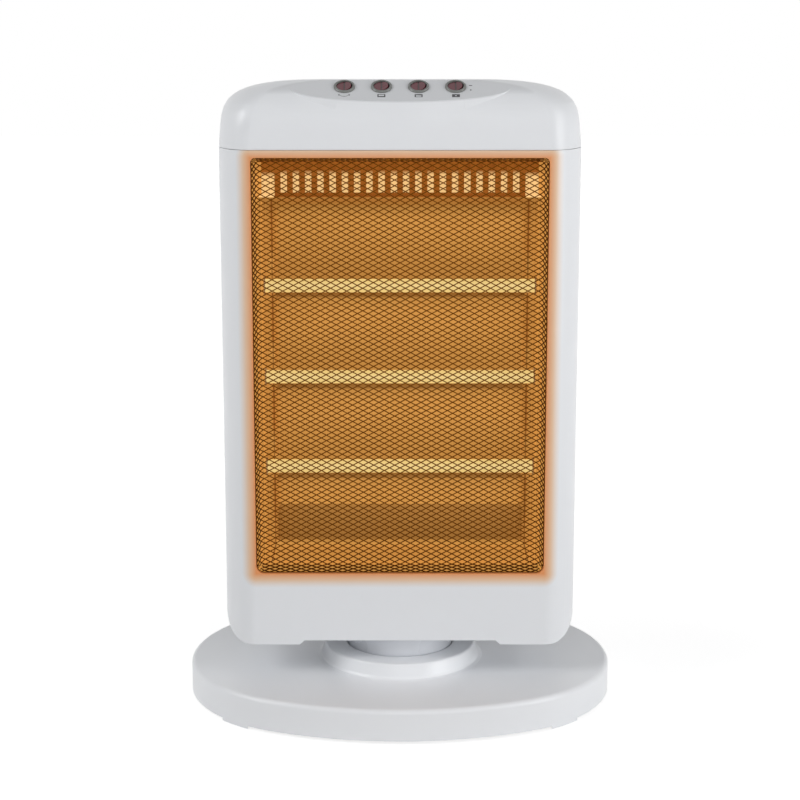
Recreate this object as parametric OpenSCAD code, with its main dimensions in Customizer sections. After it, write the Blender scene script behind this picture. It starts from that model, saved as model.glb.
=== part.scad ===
// Free-standing halogen heater: a flat oval foot, a turret that the head swings on, and a
// tall head with three halogen tubes in a folded reflector behind a diamond mesh guard.
// Origin: bottom centre of the foot, on the floor. +Z up, +X right seen from the front,
// the front faces -Y. Millimetres.

/* [Foot] */
// Width of the foot
base_w = 355; // [340:1:380]
// Depth of the foot, front to back
base_d = 264; // [250:1:290]
// Height of the foot's flat top above the floor
base_top_z = 29; // [28:0.5:36]
// Height of the skirt's lower edge above the floor
skirt_z = 3; // [2:0.1:3.6]
// Wall of the foot moulding
base_wall = 2.5; // [2:0.1:3]
// Radius of the foot's upper edge
base_edge_r = 4; // [3:0.5:6]
// How much smaller than half the depth the front sides' radius is
front_side_less = 12; // [8:1:30]
// How much smaller than half the depth the rear sides' radius is
rear_side_less = 6; // [4:1:30]
// Width of each moulded tab under the skirt
tab_w = 22; // [14:1:30]
// Distance of the tabs from the middle
tab_x = 134; // [110:1:140]
// Gap between the tabs and the floor
tab_clear = 0.6; // [0.4:0.1:1]
// Thickness of the bottom plate
plate_t = 2; // [1.5:0.1:2.4]
// Height of the bottom plate's underside
plate_z = 4; // [3.8:0.1:4.4]
// Radius of the rubber feet
pad_r = 9; // [6:0.5:12]

/* [Turret] */
// Outer radius of the turret at its top
turret_r = 64; // [60:0.5:70]
// How much wider the turret is at its foot
turret_flare = 4; // [2:0.5:6]
// Height of the turret's top face
turret_top_z = 42; // [41:0.5:46]
// Wall of the turret
turret_wall = 2.5; // [2:0.1:3]
// Depth of the round recess that takes the hub
recess_depth = 3.5; // [3:0.1:4]
// Thickness of the bearing floor in that recess
bearing_t = 3; // [2.5:0.1:3.5]

/* [Swivel hub] */
// Outer radius of the hub
hub_r = 44.5; // [42:0.5:48]
// Wall of the hub
hub_wall = 2.5; // [2:0.1:3]
// Radius of the spigot that turns in the bearing floor
spigot_r = 12; // [11:0.1:13]
// Radius of the wire passage through the spigot
passage_r = 8; // [6:0.5:9]
// Thickness of the thrust washer
washer_t = 0.6; // [0.5:0.1:0.8]

/* [Swing drive] */
// Swing of the head to each side, degrees
swing_deg = 35; // [30:1:36]
// Distance from the swing axis to the motor shaft
motor_y = 48; // [47:0.5:54]
// Radius of the motor can
motor_r = 24; // [20:0.5:25]
// Height of the motor can
motor_h = 14; // [12:0.5:14]
// Radius of the motor shaft
shaft_r = 3; // [2.5:0.1:3.5]
// Radius of the crank pin
crank_pin_r = 2.5; // [2:0.1:2.6]
// Side play of the pin in the arm's slot, which evens out the swing
slot_play = 1.9; // [1.8:0.1:2.4]

/* [Tip-over switch] */
// Place of the plunger, left of the middle
tip_x = -85; // [-95:1:-78]
// Place of the plunger, behind the middle
tip_y = 30; // [20:1:40]
// Radius of the plunger
plunger_r = 4; // [3.5:0.1:4.5]
// Travel of the plunger
plunger_travel = 4; // [3:0.5:4.5]

/* [Head] */
// Width of the head
head_w = 292; // [285:1:300]
// Depth of the head
head_d = 110; // [108:1:120]
// Height of the head's lower edge
head_z = 56; // [55:0.5:58]
// Height of the seam between body and cap
seam_z = 463; // [463:1:480]
// Height of the cap above the seam
cap_h = 53.5; // [52:0.5:58]
// Wall of the head's mouldings
head_wall = 2.4; // [2:0.1:2.8]
// Width of the rounded vertical edges, seen from the front
edge_rx = 28; // [22:1:32]
// Depth of the rounded vertical edges, seen from the side
edge_ry = 45; // [38:1:48]
// Radius of the two lower corners
bottom_r = 22; // [16:1:24]
// Width of the raised middle of the lower edge
notch_w = 158; // [140:1:170]
// Height of that raised middle
notch_h = 3.5; // [3:0.1:4]
// Distance of the joint between front and rear shells behind the middle
split_y = 5; // [2:1:10]

/* [Cap] */
// Lean of the cap's sides from the seam to the top
cap_lean = 4.5; // [2:0.5:6]
// How far the cap's upper corners reach in, seen from the front
cap_reach = 77; // [60:1:80]
// Height of the cap's rounded rear
cap_rear_h = 26; // [20:1:30]
// Depth of the cap's rounded rear
cap_rear_d = 78; // [70:1:79]
// Height of the crease at the front of the switch panel, below the top
crease_drop = 15.5; // [14:0.5:17]
// Slope of the switch panel, degrees
panel_deg = 32; // [28:1:36]
// Height of the cap's rounding below the crease
brow_drop = 20.5; // [18:0.5:24]
// Half width of the brow
brow_a = 87; // [84:1:96]
// Depth of the brow's curve
brow_b = 16; // [14:0.5:18]

/* [Window] */
// Width of the window
window_w = 235.5; // [225:0.5:240]
// Height of the window
window_h = 340; // [330:1:342]
// Height of the window's lower edge
window_z = 117; // [112:1:119]
// Corner radius at the top of the window
window_top_r = 4; // [3:0.5:6]
// Corner radius at the bottom of the window
window_bottom_r = 6.5; // [4:0.5:8]

/* [Mesh guard] */
// Width of one mesh diamond
mesh_w = 8.57; // [8:0.01:12]
// Height of one mesh diamond
mesh_h = 4.58; // [4.2:0.01:7]
// Width of a strand
strand = 0.9; // [0.7:0.1:1.2]
// Thickness of each of the two strand layers
strand_t = 0.5; // [0.4:0.1:0.6]
// How far the mesh lies behind the front face
mesh_depth = 16; // [14:0.5:17]
// How much the tray narrows from the window to the mesh, each side
tray_taper = 4.2; // [3:0.1:5]

/* [Halogen tubes] */
// Height of the lowest tube
tube_z = 197; // [192:1:202]
// Distance between tubes
tube_pitch = 76; // [74:1:77]
// Outer radius of a quartz tube
tube_r = 5.5; // [4.5:0.1:6]
// Wall of a quartz tube
tube_wall = 1; // [0.8:0.1:1.3]
// Place of the tubes behind the front face
tube_depth = 43; // [40:0.5:46]
// Distance of a quartz tube's end from the head's side
tube_end_gap = 30; // [28:0.5:32]
// Radius of the ceramic end caps
ceramic_r = 7.5; // [7:0.1:8]

/* [Reflector] */
// How far the reflector's sides lie inside the tubes' ends
reflector_in = 3.5; // [3:0.5:6]
// Width of the flat margin on each side of the troughs
trough_margin = 12.5; // [8:0.5:18]
// Height of the reflector's floor above the window's lower edge
reflector_up = 6; // [4:0.5:8]
// Place of the trough mouths behind the front face
mouth_depth = 59; // [57:1:62]
// Depth of each trough
trough_depth = 21; // [16:1:22]
// Thickness of the reflector sheet
sheet = 0.8; // [0.6:0.1:1]

/* [Vent comb] */
// Height of the comb above the reflector
comb_h = 28.8; // [26:0.1:32]
// Number of slots in the comb above the reflector
comb_slots = 20; // [16:1:22]
// Distance between comb slots
comb_pitch = 9.8; // [9:0.1:10]
// Width of a comb slot
comb_slot_w = 5.1; // [4:0.1:6]

/* [Switches] */
// Number of rocker switches
switch_count = 4; // [4:1:4]
// Distance between switches
switch_pitch = 29.2; // [26:0.1:32]
// Distance of the switches up the panel from its crease
switch_up = 19.7; // [18:0.1:21]
// Radius of the switch bezel
bezel_r = 8.4; // [8:0.1:9.4]
// Radius of the rocker
rocker_r = 5.8; // [5:0.1:5.9]
// Tilt of the rocker to each side, degrees
rocker_deg = 8; // [6:1:9]

/* [Rear] */
// Width of the grip recess at the back
grip_w = 110; // [90:1:130]
// Height of the grip recess
grip_h = 30; // [26:1:34]
// Depth of the grip recess
grip_depth = 18; // [16:1:20]
// Height of the grip recess's lower edge
grip_z = 418; // [400:1:422]
// Number of rear vent slots in a column
vent_rows = 9; // [6:1:9]
// Distance between rear vent slots
vent_pitch = 12; // [10:0.5:13]
// Width of a rear vent slot
vent_w = 58; // [40:1:62]
// Height of a rear vent slot
vent_h = 3.6; // [3:0.1:5]

/* [Hidden] */

// Clearances
run = 0.06;   // radial, shaft in its bearing
slip = 0.1;   // pieces of one body that slide together
gap = 0.3;    // pieces of different bodies
eps = 0.01;
$fn = 64;

// Screw sizes
screw_r = 1.9;
screw_head_r = 3.8;
screw_head_t = 1.8;
screw_len = 14;
small_screw_r = 1.4;
small_head_r = 2.8;
small_head_t = 1.4;
boss_r = 5;

// Heights of the swing bearing, from the turret's recess down
recess_z = turret_top_z - recess_depth;
bearing_z = recess_z - bearing_t;
hub_z = recess_z + washer_t + gap;
base_under_z = base_top_z - base_wall;
plate_top = plate_z + plate_t;
arm_t = 2;
arm_z = base_under_z - arm_t - 0.5;
ring_t = 1.5;
ring_z = arm_z - ring_t - slip;
ring_r = 15;
spigot_z = ring_z - 2.2;

// Swing drive: the crank turns fully while the arm swings by swing_deg to each side
crank_throw = motor_y * sin(swing_deg);
crank_tip_r = 4.5;
crank_t = 2.8;
motor_top = plate_top + motor_h;
crank_z = motor_top + gap;
crank_boss_r = 7;
slot_half = crank_pin_r + slot_play;
arm_boss_r = 15.5;
arm_half = slot_half + 4.5;
slot_in = motor_y - crank_throw - crank_pin_r - 0.6;
slot_out = motor_y + crank_throw + crank_pin_r + 0.6;
motor_ear = motor_r + 5;

// Tip-over switch
tip_collar_r = plunger_r + 1.5;
tip_collar_t = 1.5;
tip_collar_z = plate_top + plunger_travel + 1;
tip_chamber_r = tip_collar_r + 0.4;
tip_top = plate_top + 18;
tip_roof = 2;
spring_top = tip_top - tip_roof;
spring_r = tip_collar_r - 0.7;
spring_wire_r = 0.45;
spring_turns = 5;

// Head
head_half = head_w / 2;
front_y = -head_d / 2;
rear_y = head_d / 2;
notch_z = head_z + notch_h;
total_h = seam_z + cap_h;
inner_front = front_y + head_wall;
inner_rear = rear_y - head_wall;
hub_top = notch_z;
floor_z = notch_z + head_wall + slip;
floor_t = 1.5;
floor_top = floor_z + floor_t;
floor_y = inner_rear - 8.6;

// Cap: the switch panel rises from its crease to the flat top
crease_z = total_h - crease_drop;
panel_top_y = front_y + crease_drop / tan(panel_deg);
brow_z = crease_z - brow_drop;
brow_turn = 90 - panel_deg;
brow_r = brow_drop / tan(brow_turn / 2);
lip_t = 1.5;
lip_h = 2;
lip_rise = 3;

// Window tray and mesh
window_half = window_w / 2;
window_top = window_z + window_h;
mesh_y = front_y + mesh_depth;
layer_gap = 0.4;
mesh_t = 2 * strand_t + layer_gap;
mesh_half = window_half - tray_taper;
mesh_bottom = window_z + tray_taper;
mesh_top = window_top - tray_taper;
mesh_angle = atan(mesh_h / mesh_w);
strand_pitch = mesh_w * sin(mesh_angle);
tray_t = 0.8;
tray_in = 1;
flange_w = 3.7;
rim_t = 1;
tray_y = inner_front + rim_t + slip;

// Halogen tubes and reflector
tube_half = head_half - tube_end_gap;
reflector_half = tube_half - reflector_in;
trough_half = reflector_half - trough_margin;
reflector_z = window_z + reflector_up;
reflector_top = mesh_top - comb_h;
reflector_h = reflector_top - reflector_z;
tube_y = front_y + tube_depth;
mouth_y = front_y + mouth_depth;
reflector_front = mesh_y + mesh_t + 1.4;
bracket_x = tube_half + 4;
bracket_t = 1.2;
bracket_y = 34;
bracket_lip = 4.5;
bracket_foot = 14;
bracket_tab = 12;
floor_half = bracket_x + 2;
cap_screw_x = bracket_x + 6.5;
cap_boss_r = 4.5;
cap_in = tube_half - 6;
cap_out = tube_half + 14;
ceramic_hole_r = ceramic_r + slip;
filament_r = 1.5;
shield_y = mouth_y + trough_depth + 6;
shield_z = reflector_z - 14;
shield_top = reflector_top + 26;
shield_flange = 12;
shield_hole_r = 3;
shield_hole_pitch = 48;
comb_z = reflector_top;
comb_top = mesh_top;
comb_margin = 3;
comb_y = reflector_front + 8;
comb_back_y = comb_y + 12;

// Switches, in the panel's own frame: X across, Y up the slope, Z out of the panel
barrel_r = bezel_r - 1.1;
barrel_deep = 14;
bezel_t = 1.4;
well_r = rocker_r + 0.7;
well_deep = 6.2;
pivot_deep = 2.2;
pivot_r = 0.8;
rocker_rise = 0.4;

// Outline of the foot: round sides joined to a flatter front and rear arc, all tangent
foot_a = base_w / 2;
foot_b = base_d / 2;
front_side_r = foot_b - front_side_less;
rear_side_r = foot_b - rear_side_less;
function flat_r(side_r) =
    (foot_a * foot_a - 2 * foot_a * side_r + foot_b * foot_b) / (2 * (foot_b - side_r));
function join_deg(side_r) = atan((flat_r(side_r) - foot_b) / (foot_a - side_r));
function quarter(side_r, inset) = let (big = flat_r(side_r), turn = join_deg(side_r)) concat(
    [for (i = [0 : 12]) let (t = turn * i / 12)
        [foot_a - side_r + (side_r - inset) * cos(t), (side_r - inset) * sin(t)]],
    [for (i = [1 : 8]) let (t = turn + (90 - turn) * i / 8)
        [(big - inset) * cos(t), foot_b - big + (big - inset) * sin(t)]]
);
function flipped(points, sx, sy) = [for (p = points) [p[0] * sx, p[1] * sy]];
function backwards(points) = [for (i = [len(points) - 1 : -1 : 0]) points[i]];
function foot_points(inset) = concat(
    quarter(rear_side_r, inset),
    backwards(flipped(quarter(rear_side_r, inset), -1, 1)),
    flipped(quarter(front_side_r, inset), -1, -1),
    backwards(flipped(quarter(front_side_r, inset), 1, -1))
);

// Runs a section round the foot's outline. The section's x is 0 on the outline.
module round_foot() {
    module quarter_run(side_r) {
        turn = join_deg(side_r);
        big = flat_r(side_r);
        translate([foot_a - side_r, 0, 0]) rotate_extrude(angle = turn, $fn = 96)
            translate([side_r, 0]) children();
        translate([0, foot_b - big, 0]) rotate(turn) rotate_extrude(angle = 90 - turn, $fn = 180)
            translate([big, 0]) children();
    }
    for (s = [0, 1]) mirror([s, 0, 0]) {
        quarter_run(rear_side_r) children();
        mirror([0, 1, 0]) quarter_run(front_side_r) children();
    }
}

// Plan of the head: flat front and rear joined by elliptical corners
function corner(cx, cy, rx, ry, from) = [
    for (i = [0 : 8]) let (t = from + i * 11.25) [cx + rx * cos(t), cy + ry * sin(t)]
];
function plan_points(half, yf, yb, rx, ryf, ryb) = concat(
    corner(half - rx, yb - ryb, rx, ryb, 0),
    corner(-half + rx, yb - ryb, rx, ryb, 90),
    corner(-half + rx, yf + ryf, rx, ryf, 180),
    corner(half - rx, yf + ryf, rx, ryf, 270)
);
function head_plan(inset) = plan_points(
    head_half - inset, front_y + inset, rear_y - inset,
    edge_rx - inset, edge_ry - inset, edge_ry - inset
);

// Front view of the body below the seam: two round corners and a raised middle
function body_view() = concat(
    [[head_half, seam_z + 10], [-head_half, seam_z + 10]],
    [for (i = [0 : 8]) let (t = 180 + i * 11.25)
        [-head_half + bottom_r + bottom_r * cos(t), head_z + bottom_r + bottom_r * sin(t)]],
    [[-notch_w / 2 - notch_h, head_z], [-notch_w / 2, notch_z]],
    [[notch_w / 2, notch_z], [notch_w / 2 + notch_h, head_z]],
    [for (i = [0 : 8]) let (t = 270 + i * 11.25)
        [head_half - bottom_r + bottom_r * cos(t), head_z + bottom_r + bottom_r * sin(t)]]
);

// A flat outline in the XZ plane, thickened from y = from to y = to
module across(from, to) {
    translate([0, to, 0]) rotate([90, 0, 0]) linear_extrude(to - from) children();
}

// A flat outline in the YZ plane, thickened from x = from to x = to
module along(from, to) {
    translate([from, 0, 0]) rotate([90, 0, 90]) linear_extrude(to - from) children();
}

// Tube swept along points, with sides that follow the path's direction
function unit(v) = v / norm(v);
function ring_at(p, d, r, n) =
    let (a = unit(cross(abs(d[2]) > 0.9 ? [1, 0, 0] : [0, 0, 1], d)), b = cross(d, a))
    [for (k = [0 : n - 1]) p + r * (cos(360 * k / n) * a + sin(360 * k / n) * b)];
module sweep(path, r, n = 6) {
    last = len(path) - 1;
    rings = [for (i = [0 : last])
        ring_at(path[i], unit(path[min(i + 1, last)] - path[max(i - 1, 0)]), r, n)];
    polyhedron(
        [for (g = rings) each g],
        concat(
            [[for (k = [n - 1 : -1 : 0]) k]],
            [for (i = [0 : last - 1], k = [0 : n - 1])
                let (a = i * n + k, b = i * n + (k + 1) % n) each [[a, b, b + n], [a, b + n, a + n]]],
            [[for (k = [0 : n - 1]) last * n + k]]
        )
    );
}

// ---- Foot ----

boss_side_x = foot_a - 37.5;
boss_x = foot_a - 87.5;
boss_y = foot_b - 42;
boss_places = [[-boss_side_x, 0], [boss_side_x, 0],
               for (x = [-boss_x, boss_x], y = [-boss_y, boss_y]) [x, y]];
pad_x = foot_a - 59.5;
pad_y = foot_b - 68;
pad_places = [for (x = [-pad_x, pad_x], y = [-pad_y, pad_y]) [x, y]];

// Section of the foot's wall: skirt, round upper edge and the start of the flat top
edge_run = 18;
module foot_section() {
    polygon(concat(
        [[0, skirt_z]],
        [for (a = [0 : 15 : 90])
            [base_edge_r * (cos(a) - 1), base_top_z + base_edge_r * (sin(a) - 1)]],
        [[-edge_run, base_top_z], [-edge_run, base_under_z],
         [-base_wall - 2, base_under_z], [-base_wall, base_under_z - 2], [-base_wall, skirt_z]]
    ));
}

turret_in_r = turret_r - turret_wall;
recess_r = hub_r + 0.8;
module turret_profile() {
    polygon(concat(
        [[turret_r + turret_flare - turret_wall, base_under_z],
         [turret_r + turret_flare + 2, base_under_z],
         [turret_r + turret_flare + 2, base_top_z],
         [turret_r + turret_flare - 0.8, base_top_z + 1],
         [turret_r + turret_flare - 2, base_top_z + 3]],
        [for (a = [0 : 15 : 90])
            [turret_r - 2 + 2 * cos(a), turret_top_z - 2 + 2 * sin(a)]],
        [[recess_r + 0.8, turret_top_z], [recess_r, turret_top_z - 0.8], [recess_r, recess_z],
         [spigot_r + run, recess_z], [spigot_r + run, bearing_z],
         [turret_in_r, bearing_z], [turret_in_r, bearing_z - 1]]
    ));
}

module base_cover() {
    color("whitesmoke") difference() {
        union() {
            round_foot() foot_section();
            translate([0, 0, base_under_z]) linear_extrude(base_wall) difference() {
                polygon(foot_points(edge_run - 1));
                circle(r = turret_r + turret_flare);
            }
            rotate_extrude($fn = 96) turret_profile();
            intersection() {
                round_foot() translate([-base_wall + 0.2, tab_clear])
                    square([base_wall - 0.4, skirt_z + 1 - tab_clear]);
                for (x = [-tab_x, tab_x])
                    translate([x - tab_w / 2, -base_d, 0]) cube([tab_w, 2 * base_d, 20]);
            }
            for (p = boss_places) translate([p[0], p[1], plate_top])
                cylinder(r = boss_r, h = base_under_z - plate_top + 1);
        }
        for (p = boss_places) translate([p[0], p[1], plate_top - 1])
            cylinder(r = screw_r + slip, h = screw_len - 1);
        translate([0, base_d / 2 - 20, bush_z]) rotate([-90, 0, 0]) cylinder(r = bush_r + slip, h = 40);
    }
}

module base_plate() {
    color("dimgray") translate([0, 0, plate_z]) difference() {
        linear_extrude(plate_t) polygon(foot_points(base_wall + gap));
        for (p = boss_places) translate([p[0], p[1], -1]) cylinder(r = screw_r + slip, h = 9);
        translate([tip_x, tip_y, -1]) cylinder(r = plunger_r + run, h = 9);
        for (x = [-motor_ear, motor_ear]) translate([x, motor_y, -1])
            cylinder(r = small_screw_r + slip, h = 9);
    }
}

module foot_pads() {
    color("darkslategray") for (p = pad_places) translate(p) rotate_extrude()
        polygon([[0, 0], [pad_r - 1, 0], [pad_r, 1], [pad_r, plate_z], [0, plate_z]]);
}

// Pan-head screw: head at z 0 to head_t, shank up to len
module screw(r, head_r, head_t, length) {
    rotate_extrude($fn = 32) polygon([
        [1.2, 0.9], [1.2, 0.2], [head_r - 0.6, 0], [head_r, 0.6], [head_r, head_t],
        [r, head_t], [r, length - 1], [r - 0.8, length], [0, length], [0, 0.9]
    ]);
}

module base_screws() {
    color("silver") for (p = boss_places) translate([p[0], p[1], plate_z - screw_head_t])
        screw(screw_r, screw_head_r, screw_head_t, screw_len);
}

bush_z = 15;
bush_r = 6.5;
module cord_bush() {
    color("gainsboro") translate([0, base_d / 2, bush_z]) rotate([90, 0, 0]) rotate_extrude()
        polygon([[3.2, 0.4], [4, 0.1], [bush_r, 0.1], [bush_r, base_wall + 0.2],
                 [bush_r + 2, base_wall + 0.2], [bush_r + 2, base_wall + 2], [3.2, base_wall + 2]]);
}

// ---- Swing drive ----

module thrust_washer() {
    color("gainsboro") translate([0, 0, recess_z]) difference() {
        cylinder(r = hub_r - 0.5, h = washer_t);
        translate([0, 0, -1]) cylinder(r = spigot_r + 2, h = 3);
    }
}

module swing_motor() {
    color("silver") translate([0, motor_y, plate_top]) difference() {
        union() {
            rotate_extrude() polygon([[0, 0], [motor_r, 0], [motor_r, motor_h - 1],
                                      [motor_r - 1, motor_h], [0, motor_h]]);
            linear_extrude(1.5) difference() {
                hull() for (x = [-motor_ear, motor_ear]) translate([x, 0]) circle(r = 5);
                for (x = [-motor_ear, motor_ear]) translate([x, 0]) circle(r = small_screw_r + slip);
            }
        }
        translate([0, 0, motor_h - 9]) cylinder(r = shaft_r + run, h = 10);
    }
}

module motor_screws() {
    color("silver") for (x = [-motor_ear, motor_ear])
        translate([x, motor_y, plate_top + 1.5 + small_head_t]) mirror([0, 0, 1])
            screw(small_screw_r, small_head_r, small_head_t, small_head_t + 1.5 + plate_t);
}

module motor_shaft() {
    color("silver") translate([0, motor_y, motor_top - 8]) cylinder(r = shaft_r, h = 8 + gap + crank_t);
}

module crank_arm() {
    color("ivory") translate([0, motor_y, crank_z]) {
        difference() {
            linear_extrude(crank_t) hull() {
                circle(r = crank_boss_r);
                translate([0, crank_throw]) circle(r = crank_tip_r);
            }
            translate([0, 0, -1]) cylinder(r = shaft_r + run, h = 9);
        }
        translate([0, crank_throw, 0])
            cylinder(r = crank_pin_r, h = base_under_z - gap - crank_z);
    }
}

module swing_arm() {
    color("silver") difference() {
        union() {
            translate([0, 0, arm_z]) cylinder(r = arm_boss_r, h = bearing_z - gap - arm_z);
            translate([0, 0, arm_z]) linear_extrude(arm_t) hull() {
                circle(r = arm_boss_r - 1);
                translate([0, slot_out]) circle(r = arm_half - 1);
            }
        }
        translate([0, 0, arm_z - 1]) cylinder(r = spigot_r + slip, h = 20);
        translate([0, 0, arm_z - 1]) linear_extrude(arm_t + 2) hull() {
            translate([0, slot_in + slot_half]) circle(r = slot_half);
            translate([0, slot_out - slot_half + 1]) circle(r = slot_half);
        }
    }
}

module retaining_ring() {
    color("dimgray") translate([0, 0, ring_z]) difference() {
        cylinder(r = ring_r, h = ring_t);
        translate([0, 0, -1]) cylinder(r = spigot_r - 1 + slip, h = 4);
        translate([-2.5, -ring_r - 1, -1]) cube([5, ring_r - spigot_r + 4, 4]);
    }
}

module swivel_hub() {
    color("aliceblue") difference() {
        union() {
            rotate_extrude($fn = 96) polygon([
                [passage_r, spigot_z], [spigot_r - 1, spigot_z], [spigot_r - 1, ring_z + ring_t + 0.05],
                [spigot_r, ring_z + ring_t + 0.05], [spigot_r, hub_top - hub_wall],
                [hub_r - hub_wall, hub_top - hub_wall], [hub_r - hub_wall, hub_z],
                [hub_r - 0.6, hub_z], [hub_r, hub_z + 0.6], [hub_r, hub_top], [passage_r, hub_top]
            ]);
            for (a = [30 : 60 : 330]) rotate(a) translate([spigot_r - 1, -1, hub_z + 0.6])
                cube([hub_r - hub_wall - spigot_r + 2, 2, hub_top - hub_z - 2]);
            for (a = [0 : 90 : 270]) rotate(a) translate([hub_screw_r, 0, hub_z + 2])
                cylinder(r = 5, h = hub_top - hub_z - 3);
        }
        for (a = [0 : 90 : 270]) rotate(a) translate([hub_screw_r, 0, hub_z + 6])
            cylinder(r = screw_r + slip, h = 30);
    }
}

hub_screw_r = 30;
module hub_screws() {
    color("silver") for (a = [0 : 90 : 270]) rotate(a)
        translate([hub_screw_r, 0, floor_top + screw_head_t]) mirror([0, 0, 1])
            screw(screw_r, screw_head_r, screw_head_t, 16);
}

// ---- Tip-over switch ----

module tip_housing() {
    color("black") translate([tip_x, tip_y, plate_top]) difference() {
        translate([-14, -8, 0]) cube([28, 16, tip_top - plate_top]);
        translate([0, 0, -1]) cylinder(r = tip_chamber_r, h = 1 + spring_top - plate_top);
    }
}

module tip_plunger() {
    color("white") translate([tip_x, tip_y, 0]) rotate_extrude() polygon([
        [0, 0], [plunger_r - 1, 0], [plunger_r, 1], [plunger_r, tip_collar_z],
        [tip_collar_r, tip_collar_z], [tip_collar_r, tip_collar_z + tip_collar_t],
        [2, tip_collar_z + tip_collar_t], [2, tip_collar_z + tip_collar_t + 4],
        [0, tip_collar_z + tip_collar_t + 4]
    ]);
}

module tip_spring() {
    low = tip_collar_z + tip_collar_t + spring_wire_r;
    high = spring_top - spring_wire_r;
    steps = 12 * spring_turns;
    color("silver") translate([tip_x, tip_y, 0]) sweep([
        for (i = [0 : steps]) let (a = i * 30)
            [spring_r * cos(a) * 0.9, spring_r * sin(a) * 0.9, low + (high - low) * i / steps]
    ], spring_wire_r);
}

// Lead from the bush, and its two cores that part to both sides of the motor
lead_r = 2.6;
core_r = 1.6;
lead_len = 22;
lead_start = foot_b - base_wall - 2;
core_side = motor_ear + 15;
core_back = lead_start - lead_len - 20;
module base_lead() {
    color("dimgray") {
        translate([0, lead_start, bush_z]) rotate([90, 0, 0]) cylinder(r = lead_r, h = lead_len);
        translate([0, lead_start - lead_len, bush_z]) sphere(r = lead_r);
        for (side = [-1, 1]) hull() {
            translate([0, lead_start - lead_len, bush_z]) sphere(r = core_r, $fn = 16);
            translate([side * core_side, core_back, plate_top + core_r])
                sphere(r = core_r, $fn = 16);
        }
    }
}

// ---- Head shells ----

module body_solid(inset) {
    above = inset > 0 ? 6 : 0;
    intersection() {
        translate([0, 0, head_z - 1]) linear_extrude(seam_z + above - head_z + 1)
            polygon(head_plan(inset));
        across(front_y - 1, rear_y + 1) offset(delta = -inset) polygon(body_view());
    }
}

module half_space(from, to) {
    translate([-head_w, from, 0]) cube([2 * head_w, to - from, total_h]);
}

module hub_holes() {
    translate([0, 0, notch_z - 5]) cylinder(r = spigot_r + 2, h = 14);
    for (a = [0 : 90 : 270]) rotate(a) translate([hub_screw_r, 0, notch_z - 5])
        cylinder(r = screw_r + slip, h = 14);
}

module window_outline(grow) {
    module spot(x, z, r) { translate([x, z]) circle(r = r, $fn = 48); }
    top_r = window_top_r + grow;
    low_r = window_bottom_r + grow;
    hull() for (s = [-1, 1]) {
        spot(s * (window_half + grow - top_r), window_top + grow - top_r, top_r);
        spot(s * (window_half + grow - low_r), window_z - grow + low_r, low_r);
    }
}

// Ribs that the rear screws pull together, inside the head's sides
rib_x = head_half - 14.5;
rib_r = 5;
rear_screw_z = [head_z + 54, seam_z - 63];
rear_screw_len = 28;
rear_head_y = split_y + 14;
module front_frame() {
    color("whitesmoke") difference() {
        body_solid(0);
        difference() {
            body_solid(head_wall);
            for (s = [-1, 1], z = rear_screw_z) translate([s * rib_x, front_y, z])
                rotate([-90, 0, 0]) cylinder(r = rib_r, h = head_d);
            across(front_y, tray_y - slip) window_outline(flange_w + 0.2);
        }
        half_space(split_y, rear_y + 1);
        across(front_y - 1, tray_y) window_outline(0);
        hub_holes();
        for (s = [-1, 1], z = rear_screw_z)
            translate([s * rib_x, rear_head_y - rear_screw_len - 4, z])
                rotate([-90, 0, 0]) cylinder(r = small_screw_r + slip, h = rear_screw_len + 2);
    }
}

vent_columns = [-vent_w - 8, 0, vent_w + 8];
vent_low = head_z + 54;
upper_rows = vent_rows + 3;
upper_low = vent_low + (vent_rows + 3.5) * vent_pitch;
module vent_slots(low, rows) {
    for (x = vent_columns, i = [0 : rows - 1]) translate([x, low + i * vent_pitch]) {
        square([vent_w - vent_h, vent_h], center = true);
        for (s = [-1, 1]) translate([s * (vent_w - vent_h) / 2, 0]) circle(r = vent_h / 2, $fn = 24);
    }
}

// Pocket for the fingers, with round ends
module grip_block(grow) {
    half = (grip_w - grip_h) / 2;
    translate([0, rear_y - grip_depth - grow, grip_z + grip_h / 2]) across(0, grip_depth + grow + 1) {
        square([2 * half, grip_h + 2 * grow], center = true);
        for (s = [-1, 1]) translate([s * half, 0]) circle(r = grip_h / 2 + grow);
    }
}

module rear_cover() {
    color("whitesmoke") difference() {
        body_solid(0);
        difference() {
            body_solid(head_wall);
            grip_block(head_wall);
            for (s = [-1, 1], z = rear_screw_z) translate([s * rib_x, split_y, z])
                rotate([-90, 0, 0]) cylinder(r = rib_r, h = head_d);
        }
        half_space(front_y - 1, split_y);
        grip_block(0);
        across(inner_rear - 1, rear_y + 1) {
            vent_slots(vent_low, vent_rows);
            vent_slots(upper_low, upper_rows);
        }
        hub_holes();
        for (s = [-1, 1], z = rear_screw_z) translate([s * rib_x, split_y - 1, z])
            rotate([-90, 0, 0]) {
                cylinder(r = small_screw_r + slip, h = head_d);
                translate([0, 0, rear_head_y - split_y + 1])
                    cylinder(r = small_head_r + 0.4, h = head_d);
            }
    }
}

module rear_screws() {
    color("silver") for (s = [-1, 1], z = rear_screw_z)
        translate([s * rib_x, rear_head_y + small_head_t, z]) rotate([90, 0, 0])
            screw(small_screw_r, small_head_r, small_head_t, rear_screw_len);
}

// ---- Cap ----

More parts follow.
